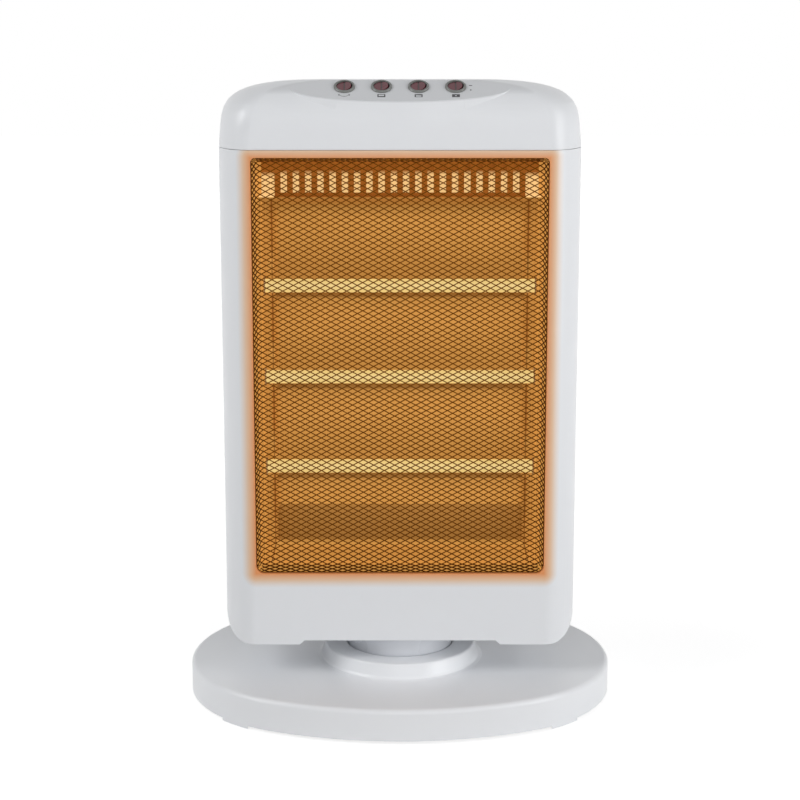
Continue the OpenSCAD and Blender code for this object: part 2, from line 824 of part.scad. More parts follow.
// Front of the cap at height z: an arc from the seam's front face, then the panel's slope
function cap_front(z) =
    z < brow_z ? front_y :
    z < brow_z + brow_r * sin(brow_turn)
        ? front_y + brow_r * (1 - cos(asin((z - brow_z) / brow_r)))
        : front_y + (z - crease_z) / tan(panel_deg);
function cap_side(z) = let (t = (z - seam_z) / cap_h)
    cap_lean * t + cap_reach * (1 - sqrt(max(0, 1 - pow(t, 6))));
function cap_back(z) = let (t = max(0, 1 - (total_h - z) / cap_rear_h))
    cap_rear_d * (1 - sqrt(max(0, 1 - t * t)));
function cap_levels() = concat(
    [seam_z, brow_z],
    [for (k = [1 : 4]) brow_z + brow_r * sin(brow_turn * k / 4)],
    [for (rest = [0.09, 0.05, 0.025, 0.01, 0.003, 0]) total_h - rest * cap_h]
);

module cap_solid(inset) {
    hull() for (z = cap_levels()) {
        yf = cap_front(z) + inset;
        yb = rear_y - cap_back(z) - inset;
        translate([0, 0, z - inset])
            linear_extrude(eps) polygon(plan_points(
                head_half - cap_side(z) - inset, yf, yb, edge_rx - inset,
                min(edge_ry - inset, (yb - yf) / 2), min(edge_ry - inset, (yb - yf) / 2)));
    }
}

// The panel's own frame: X across, Y up the slope from the crease, Z out of the panel
module on_panel() {
    translate([0, front_y, crease_z]) rotate([panel_deg, 0, 0]) children();
}

// Solid whose front wall curves back to both sides and whose top is the switch panel
brow_back = 14;
module brow() {
    slope_len = (panel_top_y - front_y) / cos(panel_deg);
    intersection() {
        translate([0, 0, brow_z - 2]) linear_extrude(cap_h) difference() {
            translate([-brow_a, front_y]) square([2 * brow_a, brow_b + brow_back]);
            difference() {
                translate([-brow_a - 1, front_y - 1]) square([2 * brow_a + 2, brow_b + 1]);
                translate([0, front_y + brow_b]) scale([brow_a / brow_b, 1])
                    circle(r = brow_b, $fn = 96);
            }
        }
        on_panel() translate([-head_half, -head_d, -cap_h])
            cube([head_w, head_d + slope_len, cap_h]);
        rotate([90, 0, 0]) linear_extrude(2 * head_d, center = true) polygon(concat(
            [for (z = flat_levels()) [flat_half(z), z]],
            [for (z = turned(flat_levels())) [-flat_half(z), z]]));
    }
}
// Half width of the part of the panel that is flat, at height z
function flat_half(z) = head_half - cap_side(z) - edge_rx - 1;
function flat_levels() = concat([brow_z - 4], [for (z = cap_levels()) if (z > crease_z) z]);
function turned(list) = [for (k = [len(list) - 1 : -1 : 0]) list[k]];

module cap_shell() {
    difference() {
        union() {
            cap_solid(0);
            brow();
            translate([0, 0, seam_z - lip_h]) linear_extrude(lip_h + 1)
                polygon(head_plan(head_wall + slip));
            translate([0, 0, seam_z]) linear_extrude(lip_rise) polygon(head_plan(head_wall - 0.6));
        }
        difference() {
            cap_solid(head_wall);
            translate([0, 0, seam_z - 3 * head_wall]) linear_extrude(3 * head_wall + lip_rise) difference() {
                polygon(head_plan(0));
                polygon(head_plan(head_wall + slip + lip_t));
            }
        }
        translate([0, 0, seam_z - lip_h - 1]) linear_extrude(lip_h + 2)
            polygon(head_plan(head_wall + slip + lip_t));
    }
}

module at_cap_screws(z) {
    for (s = [-1, 1]) translate([s * cap_screw_x, 0, z]) children();
}

cap_boss_up = 20;
module top_cover() {
    color("whitesmoke") difference() {
        union() {
            cap_shell();
            at_cap_screws(shield_top) cylinder(r = cap_boss_r, h = seam_z + cap_boss_up - shield_top);
            intersection() {
                cap_solid(0);
                at_cap_screws(seam_z + cap_boss_up / 2) cylinder(r = cap_boss_r, h = cap_h);
            }
        }
        at_cap_screws(shield_top - 1) cylinder(r = screw_r + slip, h = screw_len);
        for (i = [1 : switch_count]) at_switch(i) translate([0, 0, -20])
            cylinder(r = barrel_r + slip, h = 40);
    }
}

module cap_screws() {
    color("silver") for (s = [-1, 1])
        translate([s * cap_screw_x, 0, shield_top - bracket_t - screw_head_t])
            screw(screw_r, screw_head_r, screw_head_t, screw_len);
}

// ---- Switches ----

function switch_x(i) = (i - (switch_count + 1) / 2) * switch_pitch;
module at_switch(i) {
    on_panel() translate([switch_x(i), switch_up, 0]) children();
}

module switch_body(i) {
    color("gray") at_switch(i) difference() {
        rotate_extrude() polygon([
            [0, -barrel_deep], [barrel_r, -barrel_deep], [barrel_r, 0.05], [bezel_r, 0.05],
            [bezel_r, bezel_t - 0.6], [bezel_r - 0.6, bezel_t], [well_r, bezel_t],
            [well_r, -well_deep], [0, -well_deep]
        ]);
        translate([0, 0, -pivot_deep]) rotate([90, 0, 0])
            cylinder(r = pivot_r + run, h = 2 * (well_r + 0.4), center = true);
    }
}

module rocker(i) {
    color("maroon") at_switch(i) translate([0, 0, -pivot_deep]) rotate([0, -rocker_deg, 0]) {
        intersection() {
            translate([0, 0, -2.3]) cylinder(r = rocker_r, h = 10);
            for (s = [-1, 1]) rotate([0, -s * rocker_deg, 0])
                translate([s > 0 ? -0.01 : -10, -10, -4])
                    cube([10.01, 20, 4 + pivot_deep + rocker_rise]);
        }
        rotate([90, 0, 0]) cylinder(r = pivot_r, h = 2 * (well_r + 0.3), center = true);
    }
}

module switch_terminals() {
    color("gold") for (i = [1 : switch_count], y = [-4, 0, 4]) at_switch(i)
        translate([-2.4, y - 0.4, -barrel_deep - 7]) cube([4.8, 0.8, 7]);
}

// ---- Mesh guard ----

module slat_slots(tilt) {
    reach = norm([mesh_half, (mesh_top - mesh_bottom) / 2]);
    count = ceil(reach / strand_pitch);
    rotate(tilt) for (i = [-count : count])
        translate([-2 * reach, i * strand_pitch + strand / 2])
            square([4 * reach, strand_pitch - strand]);
}
mesh_rim = 1.2;
module slat_layer(tilt) {
    middle = (mesh_top + mesh_bottom) / 2;
    difference() {
        translate([-mesh_half, mesh_bottom]) square([2 * mesh_half, mesh_top - mesh_bottom]);
        intersection() {
            translate([-mesh_half + mesh_rim, mesh_bottom + mesh_rim])
                square([2 * (mesh_half - mesh_rim), mesh_top - mesh_bottom - 2 * mesh_rim]);
            translate([0, middle]) slat_slots(tilt);
        }
    }
}

module tray_profile(half_wide, low, high) {
    translate([-half_wide, low]) square([2 * half_wide, high - low]);
}

module mesh_guard() {
    color("goldenrod") {
        across(mesh_y, mesh_y + strand_t) slat_layer(mesh_angle);
        across(mesh_y + strand_t + layer_gap, mesh_y + mesh_t) slat_layer(-mesh_angle);
        across(mesh_y, mesh_y + mesh_t) difference() {
            tray_profile(mesh_half, mesh_bottom, mesh_top);
            tray_profile(mesh_half - mesh_rim, mesh_bottom + mesh_rim, mesh_top - mesh_rim);
        }
        tray_walls();
        across(tray_y, tray_y + tray_t) difference() {
            window_outline(flange_w);
            tray_profile(window_half - tray_in, window_z + tray_in, window_top - tray_in);
        }
    }
}

// The four leaning sides, each a slotted sheet between the flange and the mesh
module tray_walls() {
    deep = mesh_y + mesh_t - tray_y;
    lean = tray_taper - tray_in + tray_t;
    slot_long = 2 * mesh_w - 3;
    across_n = floor((mesh_half - slot_long / 2 - 2) / (2 * mesh_w));
    up_n = floor(((mesh_top - mesh_bottom) / 2 - slot_long / 2 - 2) / (2 * mesh_w));
    difference() {
        tray_frustum(tray_t, 0, deep, lean);
        tray_frustum(0, 1, deep, lean);
        translate([0, tray_y + tray_slot_y, (mesh_top + mesh_bottom) / 2]) {
            for (i = [-across_n : across_n]) translate([i * 2 * mesh_w, 0, 0])
                cube([slot_long, tray_slot_deep, 2 * window_h], center = true);
            for (i = [-up_n : up_n]) translate([0, 0, i * 2 * mesh_w])
                cube([2 * window_w, tray_slot_deep, slot_long], center = true);
        }
    }
}

// The tray's leaning form: grow widens it, past carries it beyond both ends
tray_slot_y = 6.5;
tray_slot_deep = 6;
module tray_frustum(grow, past, deep, lean) {
    wide = grow - tray_in + 0.25 * past;
    hull() {
        across(tray_y - past, tray_y - past + eps)
            tray_profile(window_half + wide, window_z - wide, window_top + wide);
        across(tray_y + deep + past - eps, tray_y + deep + past)
            tray_profile(window_half + grow - tray_in - lean, window_z - grow + tray_in + lean,
                         window_top + grow - tray_in - lean);
    }
}

// ---- Reflector, tubes and what carries them ----

module reflector_line(shift) {
    section = reflector_h / 4;
    polygon(concat(
        [for (k = [0 : 3], i = [0 : 11]) let (t = i / 12)
            [mouth_y + trough_depth * (1 - pow(abs(2 * t - 1), 3)) + shift,
             reflector_z + section * (k + t)]],
        [[mouth_y + shift, reflector_top], [mouth_y + 60, reflector_top], [mouth_y + 60, reflector_z]]
    ));
}

module reflector() {
    color("lightgoldenrodyellow") difference() {
        union() {
            along(-trough_half, trough_half) difference() {
                reflector_line(0);
                reflector_line(sheet);
            }
            for (s = [-1, 1]) {
                translate([s * (trough_half + sheet / 2) - sheet / 2, 0, 0]) along(0, sheet) difference() {
                    translate([mouth_y, reflector_z]) square([trough_depth + sheet, reflector_h]);
                    reflector_line(sheet);
                }
                translate([s > 0 ? trough_half : -reflector_half, mouth_y, reflector_z])
                    cube([reflector_half - trough_half, sheet, reflector_h]);
                translate([s > 0 ? reflector_half - sheet : -reflector_half, reflector_front, reflector_z])
                    cube([sheet, mouth_y - reflector_front + sheet, reflector_h]);
            }
            for (z = [reflector_z, reflector_top - sheet])
                translate([-reflector_half, reflector_front, z])
                    cube([2 * reflector_half, mouth_y - reflector_front + sheet, sheet]);
        }
        tube_line() cylinder(r = ceramic_hole_r, h = head_w, center = true);
    }
}

module tube_line() {
    for (i = [0 : 2]) at_tube(i) children();
}
module at_tube(i) {
    translate([0, tube_y, tube_z + i * tube_pitch]) rotate([0, 90, 0]) children();
}

module vent_comb() {
    color("goldenrod") {
        across(comb_y, comb_y + sheet) difference() {
            translate([-reflector_half, comb_z]) square([2 * reflector_half, comb_top - comb_z]);
            for (i = [0 : comb_slots - 1])
                translate([(i - (comb_slots - 1) / 2) * comb_pitch - comb_slot_w / 2,
                           comb_z + comb_margin])
                    square([comb_slot_w, comb_top - comb_z - 2 * comb_margin]);
        }
        for (z = [comb_z, comb_top - sheet]) translate([-reflector_half, reflector_front, z])
            cube([2 * reflector_half, comb_back_y - reflector_front + sheet, sheet]);
        translate([-reflector_half, comb_back_y, comb_z])
            cube([2 * reflector_half, sheet, comb_top - comb_z]);
    }
}

module heat_shield() {
    color("silver") difference() {
        union() {
            translate([-bracket_x, shield_y, shield_z]) cube([2 * bracket_x, sheet, shield_top - shield_z]);
            for (s = [-1, 1])
                translate([s > 0 ? bracket_x - sheet : -bracket_x, shield_y - shield_flange, shield_z])
                    cube([sheet, shield_flange, shield_top - shield_z]);
        }
        for (s = [-1 : 1], z = [shield_z + 30 : shield_hole_pitch : shield_top - 40])
            translate([s * 0.6 * bracket_x, shield_y - 1, z]) rotate([-90, 0, 0])
                cylinder(r = shield_hole_r, h = sheet + 2);
    }
}

module bracket(s) {
    color("silver") difference() {
        union() {
            translate([s > 0 ? bracket_x : -bracket_x - bracket_t, -bracket_y, floor_top])
                cube([bracket_t, 2 * bracket_y, shield_top - floor_top]);
            for (y = [-bracket_y, bracket_y - bracket_t])
                translate([s > 0 ? bracket_x : -bracket_x - bracket_lip, y, floor_top + 20])
                    cube([bracket_lip, bracket_t, shield_top - floor_top - 30]);
            difference() {
                translate([s > 0 ? bracket_x : -bracket_x - bracket_tab, -bracket_tab / 2,
                           shield_top - bracket_t])
                    cube([bracket_tab, bracket_tab, bracket_t]);
                translate([s * cap_screw_x, 0, shield_top - 5]) cylinder(r = screw_r + slip, h = 9);
            }
            translate([s > 0 ? bracket_x - bracket_foot : -bracket_x, -bracket_y, floor_top])
                cube([bracket_foot, 2 * bracket_y, bracket_t]);
        }
        tube_line() cylinder(r = ceramic_hole_r, h = head_w, center = true);
    }
}
module bracket_left() { bracket(-1); }
module bracket_right() { bracket(1); }

module ceramic_caps(s) {
    color("linen") tube_line() rotate([0, s < 0 ? 180 : 0, 0]) translate([0, 0, cap_in])
        rotate_extrude() polygon([
            [tube_r + slip, 0], [ceramic_r - 0.6, 0], [ceramic_r, 0.6], [ceramic_r, cap_out - cap_in - 1],
            [ceramic_r - 1, cap_out - cap_in], [1.5, cap_out - cap_in],
            [1.5, tube_half - cap_in + slip], [tube_r + slip, tube_half - cap_in + slip]
        ]);
}
module ceramic_caps_left() { ceramic_caps(-1); }
module ceramic_caps_right() { ceramic_caps(1); }

module tube(i) {
    color("khaki") at_tube(i) difference() {
        cylinder(r = tube_r, h = 2 * tube_half, center = true);
        cylinder(r = tube_r - tube_wall, h = 2 * tube_half - 12, center = true);
        cylinder(r = 0.6, h = 2 * tube_half + 2, center = true);
    }
}

module filament(i) {
    discs = 11;
    color("orange") at_tube(i) {
        cylinder(r = filament_r, h = 2 * tube_half - 30, center = true);
        cylinder(r = 0.5, h = 2 * tube_half + 8, center = true);
        for (k = [0 : discs - 1]) translate([0, 0, (k - (discs - 1) / 2) * 19])
            cylinder(r = tube_r - tube_wall - slip, h = 0.6, center = true);
    }
}

module head_floor() {
    color("silver") translate([0, 0, floor_z]) difference() {
        translate([-floor_half, -floor_y, 0]) cube([2 * floor_half, 2 * floor_y, floor_t]);
        translate([0, 0, -1]) cylinder(r = spigot_r + 2, h = 4);
        for (a = [0 : 90 : 270]) rotate(a) translate([hub_screw_r, 0, -1])
            cylinder(r = screw_r + slip, h = 4);
    }
}

module thermal_cutout() {
    color("black") translate([40, shield_y + sheet, grip_z - 28]) rotate([-90, 0, 0]) {
        cylinder(r = 8, h = 5);
        translate([-2.5, -6, 0]) cube([5, 12, 9]);
    }
}

module terminal_block() {
    color("ivory") translate([52, 20, floor_top]) {
        cube([36, 18, 10]);
        for (k = [0 : 3]) translate([4.5 + 9 * k, 9, 0]) cylinder(r = 3.4, h = 13);
    }
}

// Bundle from the terminal block up the right side to the switches
loom_r = 2.5;
loom_points = [[90.6, 29, 70], [104, 37, 71], [128, 36, 80], [138, 16, 100], [138.5, 14, 180],
               [138.5, 14, 320], [138, 12, 440], [124, 8, 478], [84, -4, 484], [44, -14, 484],
               [-46, -14, 484]];
function eased(p, t) = 0.5 * (2 * p[1] + (p[2] - p[0]) * t
    + (2 * p[0] - 5 * p[1] + 4 * p[2] - p[3]) * t * t
    + (3 * p[1] - p[0] - 3 * p[2] + p[3]) * t * t * t);
function smooth(points, n) = let (last = len(points) - 1) concat(
    [for (i = [0 : last - 1], k = [0 : n - 1])
        eased([for (j = [-1 : 2]) points[min(max(i + j, 0), last)]], k / n)],
    [points[last]]
);
module wiring_loom() {
    color("dimgray") sweep(smooth(loom_points, 5), loom_r, 8);
}

module tube_1() { tube(0); }
module tube_2() { tube(1); }
module tube_3() { tube(2); }
module filament_1() { filament(0); }
module filament_2() { filament(1); }
module filament_3() { filament(2); }

base_cover();
base_plate();
foot_pads();
base_screws();
cord_bush();
base_lead();
thrust_washer();
swing_motor();
motor_screws();
motor_shaft();
crank_arm();
tip_housing();
tip_plunger();
tip_spring();
swivel_hub();
swing_arm();
retaining_ring();
hub_screws();
head_floor();
front_frame();
rear_cover();
rear_screws();
top_cover();
cap_screws();
mesh_guard();
reflector();
vent_comb();
heat_shield();
bracket_left();
bracket_right();
ceramic_caps_left();
ceramic_caps_right();
tube_1();
tube_2();
tube_3();
filament_1();
filament_2();
filament_3();
thermal_cutout();
terminal_block();
wiring_loom();
switch_body(1);  // switch_body_1
switch_body(2);  // switch_body_2
switch_body(3);  // switch_body_3
switch_body(4);  // switch_body_4
rocker(1);  // rocker_1
rocker(2);  // rocker_2
rocker(3);  // rocker_3
rocker(4);  // rocker_4
switch_terminals();
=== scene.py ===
"""Dressed model of a free-standing halogen heater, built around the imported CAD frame.

Metres; +Z up, the front faces -Y, +X right seen from the front.
"""
import math

import bmesh
import bpy
from mathutils import Matrix, Vector


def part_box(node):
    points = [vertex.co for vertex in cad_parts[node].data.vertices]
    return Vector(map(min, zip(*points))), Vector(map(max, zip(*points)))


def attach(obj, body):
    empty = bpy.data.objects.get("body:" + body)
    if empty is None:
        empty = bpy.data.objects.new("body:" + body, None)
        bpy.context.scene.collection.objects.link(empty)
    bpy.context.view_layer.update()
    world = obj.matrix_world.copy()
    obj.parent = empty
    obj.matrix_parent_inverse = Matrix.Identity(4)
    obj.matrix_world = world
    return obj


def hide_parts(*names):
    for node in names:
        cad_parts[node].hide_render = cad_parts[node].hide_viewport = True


bl_info = {
    "name": "Halogen Heater",
    "version": (1, 0, 0),
    "blender": (4, 5, 0),
    "location": "3D View > Sidebar > Heater",
    "description": "Builds the shells, mesh, reflector and studio of a halogen heater",
    "category": "Object",
}

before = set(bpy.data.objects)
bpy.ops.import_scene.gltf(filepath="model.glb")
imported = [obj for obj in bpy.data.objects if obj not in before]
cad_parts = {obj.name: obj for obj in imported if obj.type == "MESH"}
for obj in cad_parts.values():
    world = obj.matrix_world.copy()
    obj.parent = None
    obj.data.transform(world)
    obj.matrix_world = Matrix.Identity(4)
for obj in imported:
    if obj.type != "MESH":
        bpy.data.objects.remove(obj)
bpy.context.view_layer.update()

# ---- Places taken from the frame ----

FRONT_LOW, FRONT_HIGH = (Vector(c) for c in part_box("front_frame"))
GUARD_LOW, GUARD_HIGH = (Vector(c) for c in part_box("mesh_guard"))
REFLECTOR_LOW, REFLECTOR_HIGH = (Vector(c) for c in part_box("reflector"))
COMB_HIGH = Vector(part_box("vent_comb")[1])

HEAD_HALF = FRONT_HIGH.x
FRONT_Y = FRONT_LOW.y
SPLIT_Y = FRONT_HIGH.y
REAR_Y = Vector(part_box("rear_cover")[1]).y
HEAD_Z = FRONT_LOW.z
SEAM_Z = FRONT_HIGH.z
TOP_Z = Vector(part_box("top_cover")[1]).z


class HeaterSizes(bpy.types.PropertyGroup):
    """Sizes of the moulded head, its window and its mesh"""

    edge_width: bpy.props.FloatProperty(
        name="Edge width", description="Rounding of the upright edges, from the front",
        default=0.028, unit="LENGTH")
    edge_depth: bpy.props.FloatProperty(
        name="Edge depth", description="Rounding of the upright edges, from the side",
        default=0.045, unit="LENGTH")
    lower_radius: bpy.props.FloatProperty(
        name="Lower corners", description="Radius of the head's lower corners",
        default=0.022, unit="LENGTH")
    wall: bpy.props.FloatProperty(
        name="Wall", description="Wall of the head's mouldings", default=0.0024, unit="LENGTH")
    notch_half: bpy.props.FloatProperty(
        name="Notch half width", description="Half width of the raised middle of the lower edge",
        default=0.079, unit="LENGTH")
    notch_rise: bpy.props.FloatProperty(
        name="Notch rise", description="Height of the raised middle of the lower edge",
        default=0.0035, unit="LENGTH")
    moulded_edge: bpy.props.FloatProperty(
        name="Moulded edge", description="Rounding of the mouldings' edges",
        default=0.0009, unit="LENGTH")
    window_half: bpy.props.FloatProperty(
        name="Window half width", description="Half width of the window",
        default=0.11775, unit="LENGTH")
    window_low: bpy.props.FloatProperty(
        name="Window bottom", description="Height of the window's lower edge",
        default=0.117, unit="LENGTH")
    window_high: bpy.props.FloatProperty(
        name="Window top", description="Height of the window's upper edge",
        default=0.457, unit="LENGTH")
    window_top_radius: bpy.props.FloatProperty(
        name="Window top radius", description="Radius of the window's upper corners",
        default=0.004, unit="LENGTH")
    window_low_radius: bpy.props.FloatProperty(
        name="Window bottom radius", description="Radius of the window's lower corners",
        default=0.0065, unit="LENGTH")
    mesh_width: bpy.props.FloatProperty(
        name="Mesh width", description="Width of one diamond of the mesh",
        default=0.00857, unit="LENGTH")
    mesh_height: bpy.props.FloatProperty(
        name="Mesh height", description="Height of one diamond of the mesh",
        default=0.00458, unit="LENGTH")
    strand: bpy.props.FloatProperty(
        name="Strand", description="Width of a strand of the mesh",
        default=0.0008, unit="LENGTH")


class CapSizes(bpy.types.PropertyGroup):
    """Sizes of the cap with the switch panel"""

    lean: bpy.props.FloatProperty(
        name="Lean", description="Lean of the cap's sides",
        default=0.0045, unit="LENGTH")
    reach: bpy.props.FloatProperty(
        name="Reach", description="How far the cap's upper corners reach in",
        default=0.077, unit="LENGTH")
    rear_height: bpy.props.FloatProperty(
        name="Rear height", description="Height of the cap's rounded rear",
        default=0.026, unit="LENGTH")
    rear_depth: bpy.props.FloatProperty(
        name="Rear depth", description="Depth of the cap's rounded rear",
        default=0.078, unit="LENGTH")
    seam_gap: bpy.props.FloatProperty(
        name="Seam gap", description="Gap between the cap and the body",
        default=0.0004, unit="LENGTH")
    crease_drop: bpy.props.FloatProperty(
        name="Crease drop", description="Height of the panel's crease below the top",
        default=0.0155, unit="LENGTH")
    panel_slope: bpy.props.FloatProperty(
        name="Panel slope", description="Slope of the switch panel",
        default=math.radians(32), unit="ROTATION")
    brow_drop: bpy.props.FloatProperty(
        name="Brow drop", description="Height of the rounding under the crease",
        default=0.0205, unit="LENGTH")
    brow_half: bpy.props.FloatProperty(
        name="Brow half width", description="Half width of the brow",
        default=0.087, unit="LENGTH")
    brow_depth: bpy.props.FloatProperty(
        name="Brow depth", description="Depth of the brow's curve", default=0.016, unit="LENGTH")


class HeaterColours(bpy.types.PropertyGroup):
    """Colours of the heater's finishes"""

    shell: bpy.props.FloatVectorProperty(
        name="Shell", description="White moulded shells", subtype="COLOR", size=4,
        default=(0.785, 0.80, 0.825, 1.0))
    # The foot's white is the shell's white made lighter: painted light, for the brighter light
    # that falls on the foot.
    foot: bpy.props.FloatVectorProperty(
        name="Foot", description="Foot with its turret", subtype="COLOR", size=4,
        default=(0.835, 0.85, 0.875, 1.0))
    hub: bpy.props.FloatVectorProperty(
        name="Hub", description="Turning hub", subtype="COLOR", size=4,
        default=(0.70, 0.72, 0.76, 1.0))
    bezel: bpy.props.FloatVectorProperty(
        name="Bezel", description="Bezels of the switches", subtype="COLOR", size=4,
        default=(0.165, 0.17, 0.16, 1.0))
    rocker: bpy.props.FloatVectorProperty(
        name="Rocker", description="Rockers of the switches", subtype="COLOR", size=4,
        default=(0.115, 0.02, 0.03, 1.0))
    mesh: bpy.props.FloatVectorProperty(
        name="Mesh", description="Strands of the mesh", subtype="COLOR", size=4,
        default=(0.135, 0.043, 0.003, 1.0))
    mirror: bpy.props.FloatVectorProperty(
        name="Reflector", description="Polished reflector", subtype="COLOR", size=4,
        default=(0.27, 0.12, 0.03, 1.0))
    glow: bpy.props.FloatVectorProperty(
        name="Glow", description="Light of the tubes", subtype="COLOR", size=4,
        default=(1.0, 0.475, 0.105, 1.0))


def sizes():
    return bpy.context.scene.heater_sizes


def cap_sizes():
    return bpy.context.scene.cap_sizes


def colour_of(name):
    return tuple(getattr(bpy.context.scene.heater_colours, name))


# ---- Materials ----

def add_node(tree, kind, inputs=(), **settings):
    """A shader node with its sockets set by name or number, or linked from another socket."""
    node = tree.nodes.new("ShaderNode" + kind)
    for name, value in settings.items():
        setattr(node, name, value)
    for socket, value in inputs:
        if isinstance(value, bpy.types.NodeSocket):
            tree.links.new(value, node.inputs[socket])
        else:
            node.inputs[socket].default_value = value
    return node


def new_material(name, colour, metallic=0.0):
    material = bpy.data.materials.new(name)
    material.use_nodes = True
    tree, shader = tree_of(material)
    shader.inputs["Base Color"].default_value = colour
    shader.inputs["Metallic"].default_value = metallic
    return material, tree, shader


def maths(tree, operation, first, second=0.0):
    """A number worked out from one or two others."""
    node = add_node(tree, "Math", [(0, first), (1, second)], operation=operation)
    return node.outputs[0]


def vector_maths(tree, operation, first, second=(0.0, 0.0, 0.0), output="Vector"):
    """A vector or number worked out from one or two vectors."""
    node = add_node(tree, "VectorMath", [(0, first), (1, second)], operation=operation)
    return node.outputs[output]


def ramped(tree, source, start, end, low=0.0, high=1.0, **settings):
    """Runs a number from one range into another."""
    node = add_node(tree, "MapRange",
                    [("Value", source), ("From Min", start), ("From Max", end),
                     ("To Min", low), ("To Max", high)], **settings)
    return node.outputs[0]


def mix_colours(tree, factor, first, second):
    node = add_node(tree, "Mix", [("Factor", factor), ("A", first), ("B", second)],
                    data_type="RGBA")
    return node.outputs["Result"]


def tree_of(material):
    return material.node_tree, material.node_tree.nodes["Principled BSDF"]


def toned(colour, tone):
    """A colour made darker."""
    return tuple(c * tone for c in colour[:3]) + (1.0,)


def own_place(tree):
    """The piece's own coordinates."""
    return add_node(tree, "TexCoord").outputs["Object"]


def own_axes(tree):
    """The piece's own coordinates, one by one."""
    split = add_node(tree, "SeparateXYZ", [(0, own_place(tree))])
    return [split.outputs[axis] for axis in "XYZ"]


def grain(tree, scale, detail=3.0, stretch=(1.0, 1.0, 1.0)):
    """Fine noise on the piece's own coordinates."""
    mapping = add_node(tree, "Mapping", [("Vector", own_place(tree)), ("Scale", stretch)])
    noise = add_node(tree, "TexNoise",
                     [("Vector", mapping.outputs[0]), ("Scale", scale), ("Detail", detail)])
    return noise.outputs[0]


NOISE_LOW, NOISE_HIGH = 0.3, 0.7


def vary(tree, noise, shader, low, high):
    """Varies the roughness between two values."""
    tree.links.new(ramped(tree, noise, NOISE_LOW, NOISE_HIGH, low, high),
                   shader.inputs["Roughness"])


def roughen(tree, noise, shader, height):
    """Raises a noise by a height."""
    bump = add_node(tree, "Bump", [("Strength", 1.0), ("Distance", height), ("Height", noise)])
    tree.links.new(bump.outputs[0], shader.inputs["Normal"])


SHELL_ROUGHNESS = 0.34


def moulded(name, colour, roughness=SHELL_ROUGHNESS, grain_scale=420.0, grain_height=0.00002):
    """Moulded plastic: even colour, a slightly uneven gloss and a fine moulded grain."""
    material, tree, shader = new_material(name, colour)
    vary(tree, grain(tree, 35.0), shader, roughness * 0.88, roughness * 1.12)
    roughen(tree, grain(tree, grain_scale), shader, grain_height)
    return material


# Painted shade on one flat face: how much darker, and the distances over which it fades out.
FACE_SHADE_TONE = 0.84
FACE_NEAR, FACE_FAR = 0.0002, 0.0012


def paint_face_shade(material, point, normal):
    """Painted shade: a darker base colour on one flat face, where less light falls on it."""
    tree, shader = tree_of(material)
    base = shader.inputs["Base Color"]
    plain = tuple(base.default_value)
    off = vector_maths(tree, "SUBTRACT", own_place(tree), point)
    out = maths(tree, "ABSOLUTE", vector_maths(tree, "DOT_PRODUCT", off, normal, "Value"))
    near = ramped(tree, out, FACE_NEAR, FACE_FAR, 1.0, 0.0)
    tree.links.new(mix_colours(tree, near, plain, toned(plain, FACE_SHADE_TONE)), base)


def sheet_metal(name, colour, roughness):
    """Rolled sheet: metallic, with a faint grain along the rolling direction."""
    material, tree, shader = new_material(name, colour, 1.0)
    rolled = grain(tree, 160.0, 4.0, (1.0, 1.0, 8.0))
    vary(tree, rolled, shader, roughness * 0.8, roughness * 1.25)
    roughen(tree, rolled, shader, 0.00003)
    return material


def glazed(name, colour, roughness):
    """Ceramic with a fine pore pattern."""
    material, tree, shader = new_material(name, colour)
    pores = grain(tree, 900.0, 2.0)
    vary(tree, pores, shader, roughness * 0.85, roughness * 1.1)
    roughen(tree, pores, shader, 0.00003)
    return material


def glowing(name, colour, light, strength, scale, smooth, rough):
    """A part so hot that it shines."""
    material, tree, shader = new_material(name, colour)
    shader.inputs["Emission Color"].default_value = light
    shader.inputs["Emission Strength"].default_value = strength
    vary(tree, grain(tree, scale), shader, smooth, rough)
    return material


HALO_REACH = 0.0122
HALO_CURVE = 1.3
HALO_FADED = (0.755, 0.52, 0.345, 1.0)
HALO_FADED_AT = 0.46
HALO_WARM = (0.735, 0.28, 0.09, 1.0)


def shell_with_glow(name, colour):
    """Shell plastic, tinted where the tubes shine on it round the window."""
    material = moulded(name, colour)
    tree, shader = tree_of(material)
    s = sizes()
    middle = (0.0, 0.0, (s.window_low + s.window_high) / 2)
    halves = (s.window_half, 0.0, (s.window_high - s.window_low) / 2)
    flat = vector_maths(tree, "MULTIPLY", own_place(tree), (1.0, 0.0, 1.0))
    folded = vector_maths(tree, "ABSOLUTE", vector_maths(tree, "SUBTRACT", flat, middle))
    outside = vector_maths(tree, "MAXIMUM", vector_maths(tree, "SUBTRACT", folded, halves))
    distance = vector_maths(tree, "LENGTH", outside, output="Value")
    fade = ramped(tree, distance, 0.0, HALO_REACH, 1.0, 0.0)
    tones = add_node(tree, "ValToRGB", [("Fac", maths(tree, "POWER", fade, HALO_CURVE))])
    first, last = tones.color_ramp.elements
    first.color, last.color = colour, HALO_WARM
    tones.color_ramp.elements.new(HALO_FADED_AT).color = HALO_FADED
    tree.links.new(tones.outputs["Color"], shader.inputs["Base Color"])
    return material


# ---- Building with bmesh ----

def arc(centre, radii, start, turn, steps):
    """Points of an elliptical arc, angles in degrees."""
    return [(centre[0] + radii[0] * math.cos(math.radians(start + turn * k / steps)),
             centre[1] + radii[1] * math.sin(math.radians(start + turn * k / steps)))
            for k in range(steps + 1)]


def rounded_plan(half, front, rear, radii, steps=18):
    """Plan of the head: flat front and rear joined by elliptical corners."""
    rx, ry = radii
    centres = [(half - rx, rear - ry), (rx - half, rear - ry), (rx - half, front + ry),
               (half - rx, front + ry)]
    return [point for k, centre in enumerate(centres)
            for point in arc(centre, radii, 90 * k, 90, steps)]


